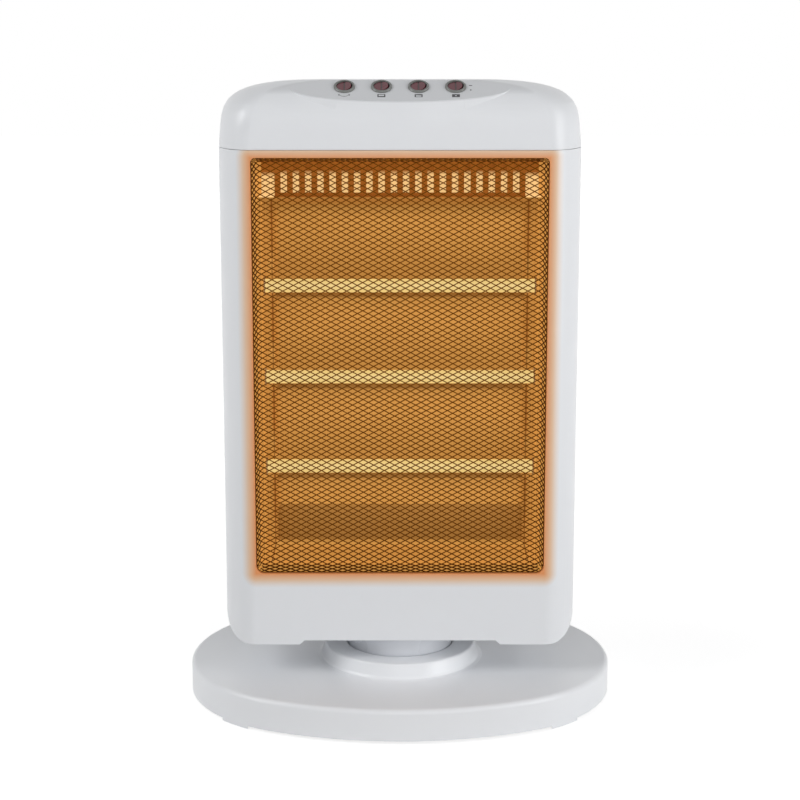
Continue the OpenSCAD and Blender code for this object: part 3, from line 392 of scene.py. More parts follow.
def prism(outline, low, high, axis="Z"):
    """A flat outline made solid from low to high along an axis."""
    place = {"Y": lambda u, v, w: (u, w, v), "Z": lambda u, v, w: (u, v, w)}[axis]
    bm = bmesh.new()
    face = bm.faces.new([bm.verts.new(place(u, v, low)) for u, v in outline])
    grown = bmesh.ops.extrude_face_region(bm, geom=[face])
    bmesh.ops.translate(bm, verts=verts_of(grown["geom"]), vec=place(0.0, 0.0, high - low))
    bmesh.ops.recalc_face_normals(bm, faces=bm.faces)
    return bm


def rod(start, end, radius, segments=32):
    """A cylinder from one point to another."""
    bm = bmesh.new()
    start, end = Vector(start), Vector(end)
    run = end - start
    turn = run.to_track_quat("Z", "Y").to_matrix().to_4x4()
    middle = Matrix.Translation((start + end) / 2)
    bmesh.ops.create_cone(bm, cap_ends=True, segments=segments, radius1=radius, radius2=radius,
                          depth=run.length, matrix=middle @ turn)
    return bm


def verts_of(geometry):
    return [g for g in geometry if isinstance(g, bmesh.types.BMVert)]


def joined(parts):
    """Several bmeshes as one."""
    bm = bmesh.new()
    for part in parts:
        mesh = bpy.data.meshes.new("part")
        part.to_mesh(mesh)
        bm.from_mesh(mesh)
        bpy.data.meshes.remove(mesh)
        part.free()
    return bm


def loose_object(bm, name="loose"):
    """An object in the scene, made of a bmesh that is used up."""
    mesh = bpy.data.meshes.new(name)
    bm.to_mesh(mesh)
    bm.free()
    obj = bpy.data.objects.new(name, mesh)
    bpy.context.scene.collection.objects.link(obj)
    return obj


def drop(obj):
    mesh = obj.data
    bpy.data.objects.remove(obj)
    bpy.data.meshes.remove(mesh)


WELD = 1e-6


def in_order(bm):
    """The same mesh in an order that only its shape decides, so that each run is the same."""
    result = bmesh.new()
    corners = sorted(bm.verts, key=lambda v: tuple(v.co))
    rank = {old: k for k, old in enumerate(corners)}
    new = [result.verts.new(v.co) for v in corners]
    rings = []
    for face in bm.faces:
        ring = [rank[v] for v in face.verts]
        first = ring.index(min(ring))
        rings.append(ring[first:] + ring[:first])
    for ring in sorted(rings):
        result.faces.new([new[k] for k in ring])
    result.normal_update()
    bm.free()
    return result


def combine(base, tool, how="DIFFERENCE"):
    """The boolean of two closed bmeshes, which are used up."""
    first, second = loose_object(in_order(base)), loose_object(in_order(tool))
    modifier = first.modifiers.new("combine", "BOOLEAN")
    modifier.operation = how
    modifier.solver = "EXACT"
    modifier.object = second
    result = bmesh.new()
    result.from_object(first, bpy.context.evaluated_depsgraph_get())
    drop(first)
    drop(second)
    bmesh.ops.remove_doubles(result, verts=result.verts, dist=WELD)
    bmesh.ops.dissolve_degenerate(result, edges=result.edges, dist=WELD)
    return in_order(result)


def round_edges(bm, degrees, test, radius, segments=3):
    """Rounds the edges that turn more than an angle and pass a test."""
    limit = math.radians(degrees)
    edges = [e for e in bm.edges
             if len(e.link_faces) == 2 and e.calc_face_angle(0.0) > limit and test(e)]
    bmesh.ops.bevel(bm, geom=edges, offset=radius, offset_type="OFFSET", segments=segments,
                    profile=0.5, affect="EDGES", clamp_overlap=True, material=-1)


def make_piece(name, bm, material, replaced=(), sharp=40.0, weighted=True):
    """Turns a bmesh into a finished piece that rides on the head."""
    bm = in_order(bm)
    for face in bm.faces:
        face.smooth = True
    limit = math.radians(sharp)
    for edge in bm.edges:
        edge.smooth = len(edge.link_faces) != 2 or edge.calc_face_angle(0.0) < limit
    obj = loose_object(bm, name)
    obj.data.name = name
    obj.data.materials.append(material)
    if weighted:
        modifier = obj.modifiers.new("even shading", "WEIGHTED_NORMAL")
        modifier.keep_sharp = True
    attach(obj, "head")
    if replaced:
        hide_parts(*replaced)
    return obj


# ---- Head shells ----

OVER = 0.01     # how far a cutter reaches past what it cuts
HAIR = 1e-4     # how near counts as on a face
SPINDLE_R = 0.014
RIM_WIDTH, RIM_DEPTH = 0.004, 0.001


def head_plan(inset):
    s = sizes()
    return rounded_plan(HEAD_HALF - inset, FRONT_Y + inset, REAR_Y - inset,
                        (s.edge_width - inset, s.edge_depth - inset))


def head_view(inset):
    """Front view of the body: two round lower corners and a raised middle."""
    s = sizes()
    half, low, top = HEAD_HALF - inset, HEAD_Z + inset, SEAM_Z + 2 * OVER
    radius = s.lower_radius - inset
    notch, rise = s.notch_half + inset * 0.4, s.notch_rise
    return ([(half, top), (-half, top)]
            + arc((radius - half, low + radius), (radius, radius), 180, 90, 14)
            + [(-notch - rise, low), (-notch, low + rise), (notch, low + rise),
               (notch + rise, low)]
            + arc((half - radius, low + radius), (radius, radius), 270, 90, 14))


def body_block(inset, top=SEAM_Z):
    """The body's solid, drawn in by an inset."""
    upright = prism(head_plan(inset), HEAD_Z - OVER, top)
    across = prism(head_view(inset), FRONT_Y - OVER, REAR_Y + OVER, "Y")
    return combine(upright, across, "INTERSECT")


def cut_at(bm, point, normal):
    """Keeps what lies behind a plane and closes the cut."""
    geometry = bm.verts[:] + bm.edges[:] + bm.faces[:]
    bmesh.ops.bisect_plane(bm, geom=geometry, plane_co=point, plane_no=normal, clear_outer=True)
    rim = [e for e in bm.edges if e.is_boundary]
    bmesh.ops.holes_fill(bm, edges=rim)
    bmesh.ops.recalc_face_normals(bm, faces=bm.faces)
    return bm


def window_outline(grow=0.0):
    s = sizes()
    half, low, high = s.window_half + grow, s.window_low - grow, s.window_high + grow
    top_r = max(s.window_top_radius + grow, 0.0005)
    low_r = max(s.window_low_radius + grow, 0.0005)
    centres = ((half - top_r, high - top_r, top_r), (top_r - half, high - top_r, top_r),
               (low_r - half, low + low_r, low_r), (half - low_r, low + low_r, low_r))
    return [point for k, (x, z, r) in enumerate(centres)
            for point in arc((x, z), (r, r), 90 * k, 90, 8)]


def spindle_hole():
    return rod((0, 0, HEAD_Z - OVER), (0, 0, HEAD_Z + 2 * OVER), SPINDLE_R, 48)


class BuildFrontFrame(bpy.types.Operator):
    """Build the front shell with its window"""

    bl_idname = "heater.front_frame"
    bl_label = "Front shell"

    def execute(self, context):
        s = sizes()
        bm = combine(body_block(0.0), body_block(s.wall, SEAM_Z + OVER))
        bm = cut_at(combine(bm, spindle_hole()), (0, SPLIT_Y - cap_sizes().seam_gap, 0), (0, 1, 0))
        back = FRONT_Y + s.wall
        rim = prism(window_outline(RIM_WIDTH), back - HAIR / 10, back + RIM_DEPTH, "Y")
        bm = combine(bm, rim, "UNION")
        bm = combine(bm, prism(window_outline(), FRONT_Y - OVER, FRONT_Y + 2 * OVER, "Y"))
        round_edges(bm, 32, on_the_outside, s.moulded_edge)
        material = shell_with_glow("white shell, lit round the window", colour_of("shell"))
        make_piece("front_shell", bm, material, ["front_frame"])
        return {"FINISHED"}


def on_the_outside(edge):
    """Edges that show: on the outer skin, not inside the wall or at the joint of the shells."""
    s = sizes()
    middle = (edge.verts[0].co + edge.verts[1].co) / 2
    inside = abs(middle.x) < HEAD_HALF - s.wall * 0.9 and HEAD_Z + s.notch_rise + HAIR < middle.z
    deep = FRONT_Y + s.wall * 0.5 < middle.y < REAR_Y - s.wall * 0.5
    at_joint = abs(middle.y - SPLIT_Y) < cap_sizes().seam_gap + HAIR
    return not at_joint and not (inside and deep)


def round_slot(x, z, width, height, start):
    """A cutter with round ends, lying across the head, from a depth out to the rear."""
    half, r = width / 2 - height / 2, height / 2
    outline = arc((x + half, z), (r, r), -90, 180, 8) + arc((x - half, z), (r, r), 90, 180, 8)
    return prism(outline, start, REAR_Y + OVER, "Y")


VENT_COLUMNS = (-0.066, 0.0, 0.066)
VENT_PITCH = 0.012
VENT_BLOCKS = ((0.110, 9), (0.260, 12))     # lowest slot, number of slots
VENT_SIZE = (0.058, 0.0036)
GRIP_SIZE = (0.110, 0.030)
GRIP_Y = REAR_Y - 0.018
GRIP_Z = 0.433
REAR_FACE = 0.03        # depth of the zone at the rear whose inner edges stay sharp
SCREW_R, SCREW_DEPTH = 0.0032, 0.015
REAR_SCREWS = [(s * (HEAD_HALF - 0.0145), z)
               for s in (-1, 1) for z in (HEAD_Z + 0.054, SEAM_Z - 0.063)]


class BuildRearShell(bpy.types.Operator):
    """Build the rear shell with its vents and grip recess"""

    bl_idname = "heater.rear_shell"
    bl_label = "Rear shell"

    def execute(self, context):
        s = sizes()
        grip_wall = [side + 2 * s.wall for side in GRIP_SIZE]
        inside = combine(body_block(s.wall, SEAM_Z + OVER),
                         round_slot(0, GRIP_Z, *grip_wall, GRIP_Y - s.wall))
        bm = combine(combine(body_block(0.0), inside), spindle_hole())
        bm = cut_at(bm, (0, SPLIT_Y, 0), (0, -1, 0))
        bm = combine(bm, round_slot(0, GRIP_Z, *GRIP_SIZE, GRIP_Y))
        bm = combine(bm, joined([rod((x, SPLIT_Y + SCREW_DEPTH, z), (x, REAR_Y + OVER, z),
                                     SCREW_R, 24) for x, z in REAR_SCREWS]))
        bm = combine(bm, joined([
            round_slot(x, low + row * VENT_PITCH, *VENT_SIZE, REAR_Y - s.wall - 0.002)
            for x in VENT_COLUMNS for low, rows in VENT_BLOCKS for row in range(rows)]))
        round_edges(bm, 32, on_the_rear, s.moulded_edge * 0.6, 2)
        material = moulded("white shell", colour_of("shell"))
        make_piece("rear_shell", bm, material, ["rear_cover"])
        return {"FINISHED"}


def on_the_rear(edge):
    """Edges of the outer skin, the vents and the grip recess."""
    middle = (edge.verts[0].co + edge.verts[1].co) / 2
    return on_the_outside(edge) and (middle.y > REAR_Y - HAIR or middle.y < REAR_Y - REAR_FACE)


# ---- Cap ----

def cap_side(z):
    """How far the cap's side has come in at height z: nearly upright, then a tight corner."""
    c = cap_sizes()
    climbed = min(max((z - SEAM_Z) / (TOP_Z - SEAM_Z), 0.0), 1.0)
    return c.lean * climbed + c.reach * (1.0 - math.sqrt(1.0 - climbed ** 6))


def cap_back(z):
    """How far the cap's rear has come in at height z."""
    c = cap_sizes()
    climbed = min(max(1.0 - (TOP_Z - z) / c.rear_height, 0.0), 1.0)
    return c.rear_depth * (1.0 - math.sqrt(1.0 - climbed * climbed))


def brow_arc():
    """The arc over the cap's front edge: crease, start, turn and radius."""
    c = cap_sizes()
    crease = TOP_Z - c.crease_drop
    turn = math.pi / 2 - c.panel_slope
    return crease, crease - c.brow_drop, turn, c.brow_drop / math.tan(turn / 2)


def cap_front(z):
    """Front of the cap at height z: flat, then an arc, then the panel's slope."""
    crease, start, turn, radius = brow_arc()
    if z < start:
        return FRONT_Y
    if z < start + radius * math.sin(turn):
        return FRONT_Y + radius * (1 - math.cos(math.asin((z - start) / radius)))
    return FRONT_Y + (z - crease) / math.tan(cap_sizes().panel_slope)


def cap_heights():
    """Heights of the cap's plans, closer together where it rounds over."""
    c = cap_sizes()
    _, start, turn, radius = brow_arc()
    marks = [SEAM_Z + c.seam_gap, start, TOP_Z]
    marks += [start + radius * math.sin(turn * k / 10) for k in range(1, 11)]
    steps = [math.sin(math.radians(90 * k / 20)) for k in range(4, 20)]
    marks += [SEAM_Z + (TOP_Z - SEAM_Z) * step ** (1 / 3) for step in steps]
    marks += [TOP_Z - c.rear_height * (1 - step) for step in steps]
    kept = []
    for z in sorted(marks):
        if not kept or z - kept[-1] > HAIR:
            kept.append(z)
    return kept


def cap_block(inset):
    """The cap's solid, lofted through plans at many heights."""
    s = sizes()
    bm = bmesh.new()
    below = None
    for z in cap_heights():
        front, rear = cap_front(z) + inset, REAR_Y - cap_back(z) - inset
        radii = (s.edge_width - inset, min(s.edge_depth - inset, (rear - front) / 2))
        outline = rounded_plan(HEAD_HALF - cap_side(z) - inset, front, rear, radii)
        ring = [bm.verts.new((x, y, z - inset)) for x, y in outline]
        edges = [bm.edges.new((ring[k - 1], ring[k])) for k in range(len(ring))]
        if below:
            bmesh.ops.bridge_loops(bm, edges=below + edges)
        else:
            bm.faces.new(ring)
        below = edges
    bm.faces.new(ring)
    bmesh.ops.remove_doubles(bm, verts=bm.verts, dist=WELD)
    bmesh.ops.recalc_face_normals(bm, faces=bm.faces)
    return bm


BROW_BACK, BROW_IN, BROW_UNDER = 0.014, 0.001, 0.002


def brow_block():
    """Solid under the panel whose front wall curves back to both sides."""
    c = cap_sizes()
    crease, low, _, _ = brow_arc()
    middle = FRONT_Y + c.brow_depth
    outline = (arc((0, middle), (c.brow_half, c.brow_depth), 180, 180, 96)
               + [(c.brow_half, middle + BROW_BACK), (-c.brow_half, middle + BROW_BACK)])
    bm = prism(outline, low, TOP_Z + OVER)
    slope = c.panel_slope
    bm = cut_at(bm, (0, FRONT_Y, crease), (0, -math.sin(slope), math.cos(slope)))
    levels = [low - BROW_UNDER] + [z for z in cap_heights() if z > crease]
    right = [(HEAD_HALF - cap_side(z) - sizes().edge_width - BROW_IN, z) for z in levels]
    flat = right + [(-x, z) for x, z in reversed(right)]
    return combine(bm, prism(flat, FRONT_Y - OVER, REAR_Y, "Y"), "INTERSECT")


def on_panel(x, up, out):
    """A point on the switch panel: across, up the slope from the crease, out of it."""
    c = cap_sizes()
    slope = c.panel_slope
    return Vector((x, FRONT_Y + up * math.cos(slope) - out * math.sin(slope),
                   TOP_Z - c.crease_drop + up * math.sin(slope) + out * math.cos(slope)))


SWITCH_PITCH = 0.0292
SWITCH_X = [(k - 1.5) * SWITCH_PITCH for k in range(4)]
SWITCH_UP = 0.0197
BARREL_R = 0.0074
LIP = (0.0001, 0.0016, -0.0024)         # insets past the wall, start above the cap's foot
COLLAR = (-0.0006, 0.0010, 0.0002)
LIP_RISE = 0.003


class BuildCap(bpy.types.Operator):
    """Build the cap with its brow and the holes of the switches"""

    bl_idname = "heater.cap"
    bl_label = "Cap"

    def execute(self, context):
        s = sizes()
        outer = combine(cap_block(0.0), brow_block(), "UNION")
        bm = combine(outer, cap_block(s.wall))
        foot = SEAM_Z + cap_sizes().seam_gap
        for outer, inner, low in (COLLAR, LIP):
            band = prism(head_plan(s.wall + outer), foot + low, foot + LIP_RISE)
            hollow = prism(head_plan(s.wall + inner), foot + low - OVER, foot + OVER)
            bm = combine(bm, combine(band, hollow), "UNION")
        bm = combine(bm, joined([rod(on_panel(x, SWITCH_UP, -2 * OVER),
                                     on_panel(x, SWITCH_UP, 2 * OVER), BARREL_R)
                                 for x in SWITCH_X]))
        round_edges(bm, 24, on_cap_skin, s.moulded_edge)
        material = moulded("white cap", colour_of("shell"))
        # Painted shade on the switch panel, which catches less light than the rest of the cap.
        paint_face_shade(material, on_panel(0, 0, 0), on_panel(0, 0, 1) - on_panel(0, 0, 0))
        make_piece("switch_cap", bm, material, ["top_cover"], sharp=50)
        return {"FINISHED"}


SYMBOL_UP = 0.0078
SYMBOL_SIZE = (0.0062, 0.0038)
SYMBOL_LINE = 0.0006
BAR = 0.0014
SWEEP_HALF = 0.0043
SWEEP_DIP = 0.0022
INK_UNDER, INK_OVER = -0.0001, 0.00006
MARKS = ((0.0556, 0.0215, 0.0026, 0.0009), (0.0556, 0.0155, 0.0012, 0.0012))


def box_outline(x, up, width, height):
    corners = ((-1, -1), (1, -1), (1, 1), (-1, 1))
    return [(x + s * width / 2, up + t * height / 2) for s, t in corners]


def printed(outline, inner=None):
    """A flat shape laid on the switch panel, less an inner shape."""
    bm = prism(outline, INK_UNDER, INK_OVER)
    if inner:
        bm = combine(bm, prism(inner, -0.001, 0.001))
    for vert in bm.verts:
        vert.co = on_panel(*vert.co)
    return bm


def sweep_sign(x):
    """A bow with an arrow's head at both ends."""
    bow = [(x + SWEEP_HALF * k / 10, SYMBOL_UP + SWEEP_DIP * ((k / 10) ** 2 - 0.5))
           for k in range(-10, 11)]
    shapes = [printed(bow + [(u, v + SYMBOL_LINE * 0.7) for u, v in reversed(bow)])]
    for side in (-1, 1):
        u, v = x + side * (SWEEP_HALF + 0.0004), SYMBOL_UP + SWEEP_DIP * 0.75
        head = [(u, v), (u - side * 0.0016, v - 0.0001), (u - side * 0.0003, v - 0.0015)]
        shapes.append(printed(head[::side]))
    return shapes


class BuildSymbols(bpy.types.Operator):
    """Print the sweep sign, the heat signs and two small marks on the switch panel"""

    bl_idname = "heater.symbols"
    bl_label = "Printed symbols"

    def execute(self, context):
        width, height = SYMBOL_SIZE
        rest = (width - 3 * SYMBOL_LINE, height - SYMBOL_LINE - BAR)
        lift = (BAR - SYMBOL_LINE) / 2
        shapes = sweep_sign(SWITCH_X[0])
        for x, up, hollow in ((SWITCH_X[1], lift, rest), (SWITCH_X[2], -lift, rest),
                              (SWITCH_X[3], 0.0, (width * 0.22, height * 0.3))):
            shapes.append(printed(box_outline(x, SYMBOL_UP, width, height),
                                  box_outline(x, SYMBOL_UP + up, *hollow)))
        shapes += [printed(box_outline(*mark)) for mark in MARKS]
        ink = moulded("printed ink", (0.055, 0.055, 0.06, 1.0), 0.5)
        make_piece("panel_symbols", joined(shapes), ink, weighted=False)
        return {"FINISHED"}


def on_cap_skin(edge):
    """Edges of the cap's outer skin: the crease, the panel's edges and the seam."""
    middle = (edge.verts[0].co + edge.verts[1].co) / 2
    if middle.z < SEAM_Z + cap_sizes().seam_gap + HAIR:
        return (abs(middle.x) > HEAD_HALF - HAIR or abs(middle.y - FRONT_Y) < HAIR
                or abs(middle.y - REAR_Y) < HAIR or outside_plan(middle))
    return middle.y < cap_front(middle.z) + 10 * HAIR or middle.z > TOP_Z - HAIR


def outside_plan(point):
    """Whether a point lies on the head's outer plan, within its rounded corners."""
    s = sizes()
    u = (abs(point.x) - HEAD_HALF + s.edge_width) / s.edge_width
    v = (abs(point.y) - REAR_Y + s.edge_depth) / s.edge_depth
    return u > 0 and v > 0 and u * u + v * v > 0.985


# ---- Mesh guard ----

MESH_Y = GUARD_HIGH.y - 0.0014
TRAY_Y = GUARD_LOW.y
MESH_TAPER = 0.0042
MESH_GAP = 0.0006
STRAND_T, STRAND_TILT = 0.0005, 0.45
FLANGE_OUT, FLANGE_IN, FLANGE_T = 0.0035, 0.0004, 0.0008
LINING_IN, LINING_TOP = 0.0072, 0.0038      # how far it reaches in: sides and bottom, top
LINING_BACK = MESH_Y + 0.012
LINING_WALL = 0.0004
# Strengths of the painted glow on the lining and on the reflector.
LINING_LIGHT = 0.52
REFLECTOR_LIGHT = 0.38


def fold(u, v, half_u, half_v, lean, deep):
    """Bends the flat mesh's margins forward; returns x, height above the middle and depth."""
    length = math.hypot(lean, deep)
    past_u = min(max(abs(u) - half_u, 0.0), length)
    past_v = min(max(abs(v) - half_v, 0.0), length)
    x = math.copysign(min(abs(u), half_u) + past_u * lean / length, u)
    z = math.copysign(min(abs(v), half_v) + past_v * lean / length, v)
    return x, z, max(past_u, past_v) * deep / length


def flat_mesh(half_u, half_v):
    """A sheet of diamonds, at least as wide and high as asked, standing across the head."""
    s = sizes()
    w, h = s.mesh_width, s.mesh_height
    across, up = math.ceil(half_u / w), math.ceil(half_v / h)
    bm = bmesh.new()
    cell = bm.faces.new([bm.verts.new(p) for p in (
        (w / 2, 0, 0), (0, 0, h / 2), (-w / 2, 0, 0), (0, 0, -h / 2))])
    cell.normal_update()
    bmesh.ops.inset_individual(bm, faces=[cell], thickness=s.strand / 2, use_even_offset=True)
    for vert in cell.verts:
        vert.co.y = s.strand * STRAND_TILT * vert.co.z / h
    bmesh.ops.delete(bm, geom=[cell], context="FACES_ONLY")
    one = bm.verts[:] + bm.edges[:] + bm.faces[:]
    shift(bm, one, (-across * w, 0, -up * h))
    row = list(one)
    for k in range(1, 2 * across + 1):
        copy = bmesh.ops.duplicate(bm, geom=one)["geom"]
        shift(bm, copy, (k * w, 0, 0))
        row += copy
    half_row = bmesh.ops.duplicate(bm, geom=row)["geom"]
    shift(bm, half_row, (w / 2, 0, h / 2))
    row += half_row
    for k in range(1, 2 * up + 1):
        shift(bm, bmesh.ops.duplicate(bm, geom=row)["geom"], (0, 0, k * h))
    bmesh.ops.remove_doubles(bm, verts=bm.verts, dist=WELD)
    far = [f for f in bm.faces
           if min(abs(v.co.x) for v in f.verts) > half_u
           or min(abs(v.co.z) for v in f.verts) > half_v]
    bmesh.ops.delete(bm, geom=far, context="FACES")
    return bm


class BuildMesh(bpy.types.Operator):
    """Build the diamond mesh with its folded sides and flange"""

    bl_idname = "heater.mesh"
    bl_label = "Mesh guard"

    def execute(self, context):
        s = sizes()
        half_u = s.window_half - MESH_TAPER
        half_v = (s.window_high - s.window_low) / 2 - MESH_TAPER
        middle = (s.window_high + s.window_low) / 2
        lean, deep = MESH_TAPER - MESH_GAP, MESH_Y - TRAY_Y
        reach = math.hypot(lean, deep)
        bm = flat_mesh(half_u + reach, half_v + reach)
        back = set(verts_of(bmesh.ops.extrude_face_region(bm, geom=bm.faces[:])["geom"]))
        bmesh.ops.recalc_face_normals(bm, faces=bm.faces)
        for vert in bm.verts:
            x, z, ahead = fold(vert.co.x, vert.co.z, half_u, half_v, lean, deep)
            thick = STRAND_T if vert in back else 0.0
            if ahead:
                side = Vector((x, 0, 0)) if abs(x) > half_u else Vector((0, 0, z))
                vert.co = Vector((x, MESH_Y - ahead, middle + z)) + side.normalized() * thick
            else:
                vert.co = Vector((x, MESH_Y + vert.co.y + thick, middle + z))
        inner = [(x, z + (LINING_IN - LINING_TOP if z > middle else 0.0))
                 for x, z in window_outline(-LINING_IN)]
        # The lining is a sheet that glows with painted light, standing in for the tubes' light
        # round the mesh.
        lining = sleeve(window_outline(MESH_GAP), TRAY_Y + 0.001, inner, LINING_BACK, LINING_WALL)
        lit = polished("lit lining", LINING_LIGHT)
        make_piece("mesh_lining", lining, lit)
        metal = mesh_metal("mesh strands", colour_of("mesh"))
        make_piece("mesh_guard_sheet", bm, metal, ["mesh_guard"],
                   sharp=30, weighted=False)
        flange = combine(
            prism(window_outline(FLANGE_OUT), TRAY_Y, TRAY_Y + FLANGE_T, "Y"),
            prism(window_outline(-FLANGE_IN), TRAY_Y - OVER, TRAY_Y + OVER, "Y"))
        make_piece("mesh_flange", flange, metal)
        return {"FINISHED"}


def sleeve(front, front_y, back, back_y, wall):
    """A thin wall between two outlines of equal count, one behind the other."""
    bm = bmesh.new()
    loops = []
    for outline, y, grow in ((front, front_y, 0), (back, back_y, 0), (back, back_y, wall),
                             (front, front_y, wall)):
        middle = sum(v for _, v in outline) / len(outline)
        loops.append([bm.verts.new((u + math.copysign(grow, u), y,
                                    v + math.copysign(grow, v - middle))) for u, v in outline])
    for near, far in zip(loops, loops[1:] + loops[:1]):
        for k in range(len(near)):
            bm.faces.new((near[k - 1], near[k], far[k], far[k - 1]))
    bmesh.ops.recalc_face_normals(bm, faces=bm.faces)
    return bm


def shift(bm, geometry, vec):
    bmesh.ops.translate(bm, verts=verts_of(geometry), vec=vec)


def mesh_metal(name, colour):
    """Plated strands, a little darker where they are heat-tinted."""
    material, tree, shader = new_material(name, colour, 1.0)
    tinted = mix_colours(tree, grain(tree, 45.0), colour, toned(colour, 0.6))
    tree.links.new(tinted, shader.inputs["Base Color"])
    vary(tree, grain(tree, 300.0), shader, 0.35, 0.5)
    return material


# ---- Reflector, comb and tubes ----

TROUGH_HALF = 0.1055
TROUGH_END = 0.002
MOUTH_Y = 0.004
SHEET = 0.0008
TROUGH_DEPTH = REFLECTOR_HIGH.y - MOUTH_Y - SHEET


def trough_depth(x, z):
    """Depth of the reflector's sheet behind the trough mouths."""
    section = (REFLECTOR_HIGH.z - REFLECTOR_LOW.z) / 4
    place = ((z - REFLECTOR_LOW.z) / section) % 1.0
    if REFLECTOR_HIGH.z - z < WELD:
        place = 1.0
    hollow = (1.0 - (1.0 - place) ** 3) * (1.0 - place ** 12)
    run_in = min(max((TROUGH_HALF - abs(x)) / TROUGH_END, 0.0), 1.0)
    return TROUGH_DEPTH * hollow * run_in * run_in * (3.0 - 2.0 * run_in)


def reflector_sheet():
    """The folded sheet, with its sides turned forward."""
    low, high = REFLECTOR_LOW, REFLECTOR_HIGH
    bm = bmesh.new()
    bmesh.ops.create_grid(bm, x_segments=90, y_segments=120, size=0.5)
    bmesh.ops.scale(bm, vec=(high.x - low.x, high.z - low.z, 1.0), verts=bm.verts)
    for vert in bm.verts:
        x, z = vert.co.x, vert.co.y + (low.z + high.z) / 2
        vert.co = Vector((x, MOUTH_Y + trough_depth(x, z), z))
    rim = [e for e in bm.edges if e.is_boundary]
    for vert in verts_of(bmesh.ops.extrude_edge_only(bm, edges=rim)["geom"]):
        vert.co.y = low.y
    bmesh.ops.recalc_face_normals(bm, faces=bm.faces)
    bm = in_order(bm)
    bmesh.ops.solidify(bm, geom=bm.faces[:], thickness=SHEET)
    return bm


class BuildReflector(bpy.types.Operator):
    """Build the polished reflector with its folds"""

    bl_idname = "heater.reflector"
    bl_label = "Reflector"

    def execute(self, context):
        # Painted light: the reflector glows, and painted shade is worked into its glow at the
        # folds and under the tubes.
        mirror = polished("polished reflector", REFLECTOR_LIGHT)
        shade_folds(mirror)
        make_piece("folded_reflector", reflector_sheet(), mirror,
                   ["reflector"], sharp=35, weighted=False)
        return {"FINISHED"}


# Shades of the reflector's glow: half width, soft margin, strength.
CREASE_SHADE = (0.0003, 0.0006, 0.8)
LOWEST_FOLD_SHADE = (0.0130, 0.0014, 0.58)
LOWEST_FOLD_Z = 0.1416
UPPER_EDGE_SHADES = ((0.0042, 0.0020, 0.35), (0.0100, 0.0160, 0.28))
LOWER_EDGE_LIGHT = (0.0025, 0.0005, -0.22)
TUBE_SHADE = (0.0016, 0.0026, 0.6)
TUBE_SHADE_DROPS = (0.0115, 0.0095, 0.0070)
SHADE_MARGIN = (0.0035, 0.003)


def shade_folds(material):
    """Weakens the glow at the ends of the troughs, under each tube and along the lowest fold."""
    tree, shader = tree_of(material)
    x, _, high = own_axes(tree)
    aside = maths(tree, "ABSOLUTE", x)

    def near(source, centre, half, soft):
        """1 within half of the centre, falling to 0 over soft."""
        off = maths(tree, "ABSOLUTE", maths(tree, "SUBTRACT", source, centre))
        return ramped(tree, off, half, half + soft, 1.0, 0.0,
                              interpolation_type="SMOOTHSTEP")

    margin, soft_end = SHADE_MARGIN
    inside = near(aside, 0.0, TROUGH_HALF - margin, soft_end)

    def shade(centre, form, source=high, within=None):
        half, soft, strength = form
        amount = near(source, centre, half, soft)
        if within is not None:
            amount = maths(tree, "MULTIPLY", amount, within)
        return maths(tree, "MULTIPLY", amount, strength)

    shades = [shade(TROUGH_HALF, CREASE_SHADE, aside),
              shade(LOWEST_FOLD_Z, LOWEST_FOLD_SHADE, within=inside),
              shade(REFLECTOR_LOW.z, LOWER_EDGE_LIGHT)]
    shades += [shade(REFLECTOR_HIGH.z, form) for form in UPPER_EDGE_SHADES]
    shades += [shade(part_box(f"tube_{k}")[0][2] - drop, TUBE_SHADE, within=inside)
               for k, drop in enumerate(TUBE_SHADE_DROPS, start=1)]
    light = 1.0
    for dark in shades:
        light = maths(tree, "MULTIPLY", light, maths(tree, "SUBTRACT", 1.0, dark))
    strength = shader.inputs["Emission Strength"]
    tree.links.new(maths(tree, "MULTIPLY", light, strength.default_value), strength)


# The comb's own dark colour, also used for its faint painted glow in front, and the colour of the
# painted light behind its slots and at its ends.
COMB_DARK = (0.20, 0.060, 0.008, 1.0)
COMB_LIT = (0.80, 0.53, 0.22, 1.0)
COMB_BEHIND_Y = COMB_HIGH.y - 0.0015
COMB_END_X = 0.1005
COMB_LIT_UNDER = (COMB_HIGH.z - 0.013, COMB_HIGH.z - 0.009)


def comb_finish(name):
    """Sheet of the comb with painted light: a faint glow in front, a bright painted glow behind
    its slots and painted glints at its ends, both fading out under its top.
    """
    material, tree, shader = new_material(name, COMB_DARK, 0.95)
    x, y, z = own_axes(tree)
    behind = maths(tree, "GREATER_THAN", y, COMB_BEHIND_Y)
    ends = maths(tree, "GREATER_THAN", maths(tree, "ABSOLUTE", x), COMB_END_X)
    under = ramped(tree, z, *COMB_LIT_UNDER, 1.0, 0.0)
    lit = maths(tree, "MULTIPLY", maths(tree, "MAXIMUM", behind, ends), under)
    tree.links.new(mix_colours(tree, lit, toned(COMB_DARK, 0.8), COMB_LIT),
                   shader.inputs["Emission Color"])
    shader.inputs["Emission Strength"].default_value = 1.0
    vary(tree, grain(tree, 60.0), shader, 0.35, 0.5)
    return material


def polished(name, strength):
    """Gold mirror with painted light: an even emitted glow that stands in for the tubes' light on
    the sheet.
    """
    material, tree, shader = new_material(name, colour_of("mirror"), 1.0)
    shader.inputs["Emission Color"].default_value = colour_of("glow")
    shader.inputs["Emission Strength"].default_value = strength
    waves = grain(tree, 26.0, 2.0)
    vary(tree, waves, shader, 0.34, 0.44)
    roughen(tree, waves, shader, 0.0004)
    return material


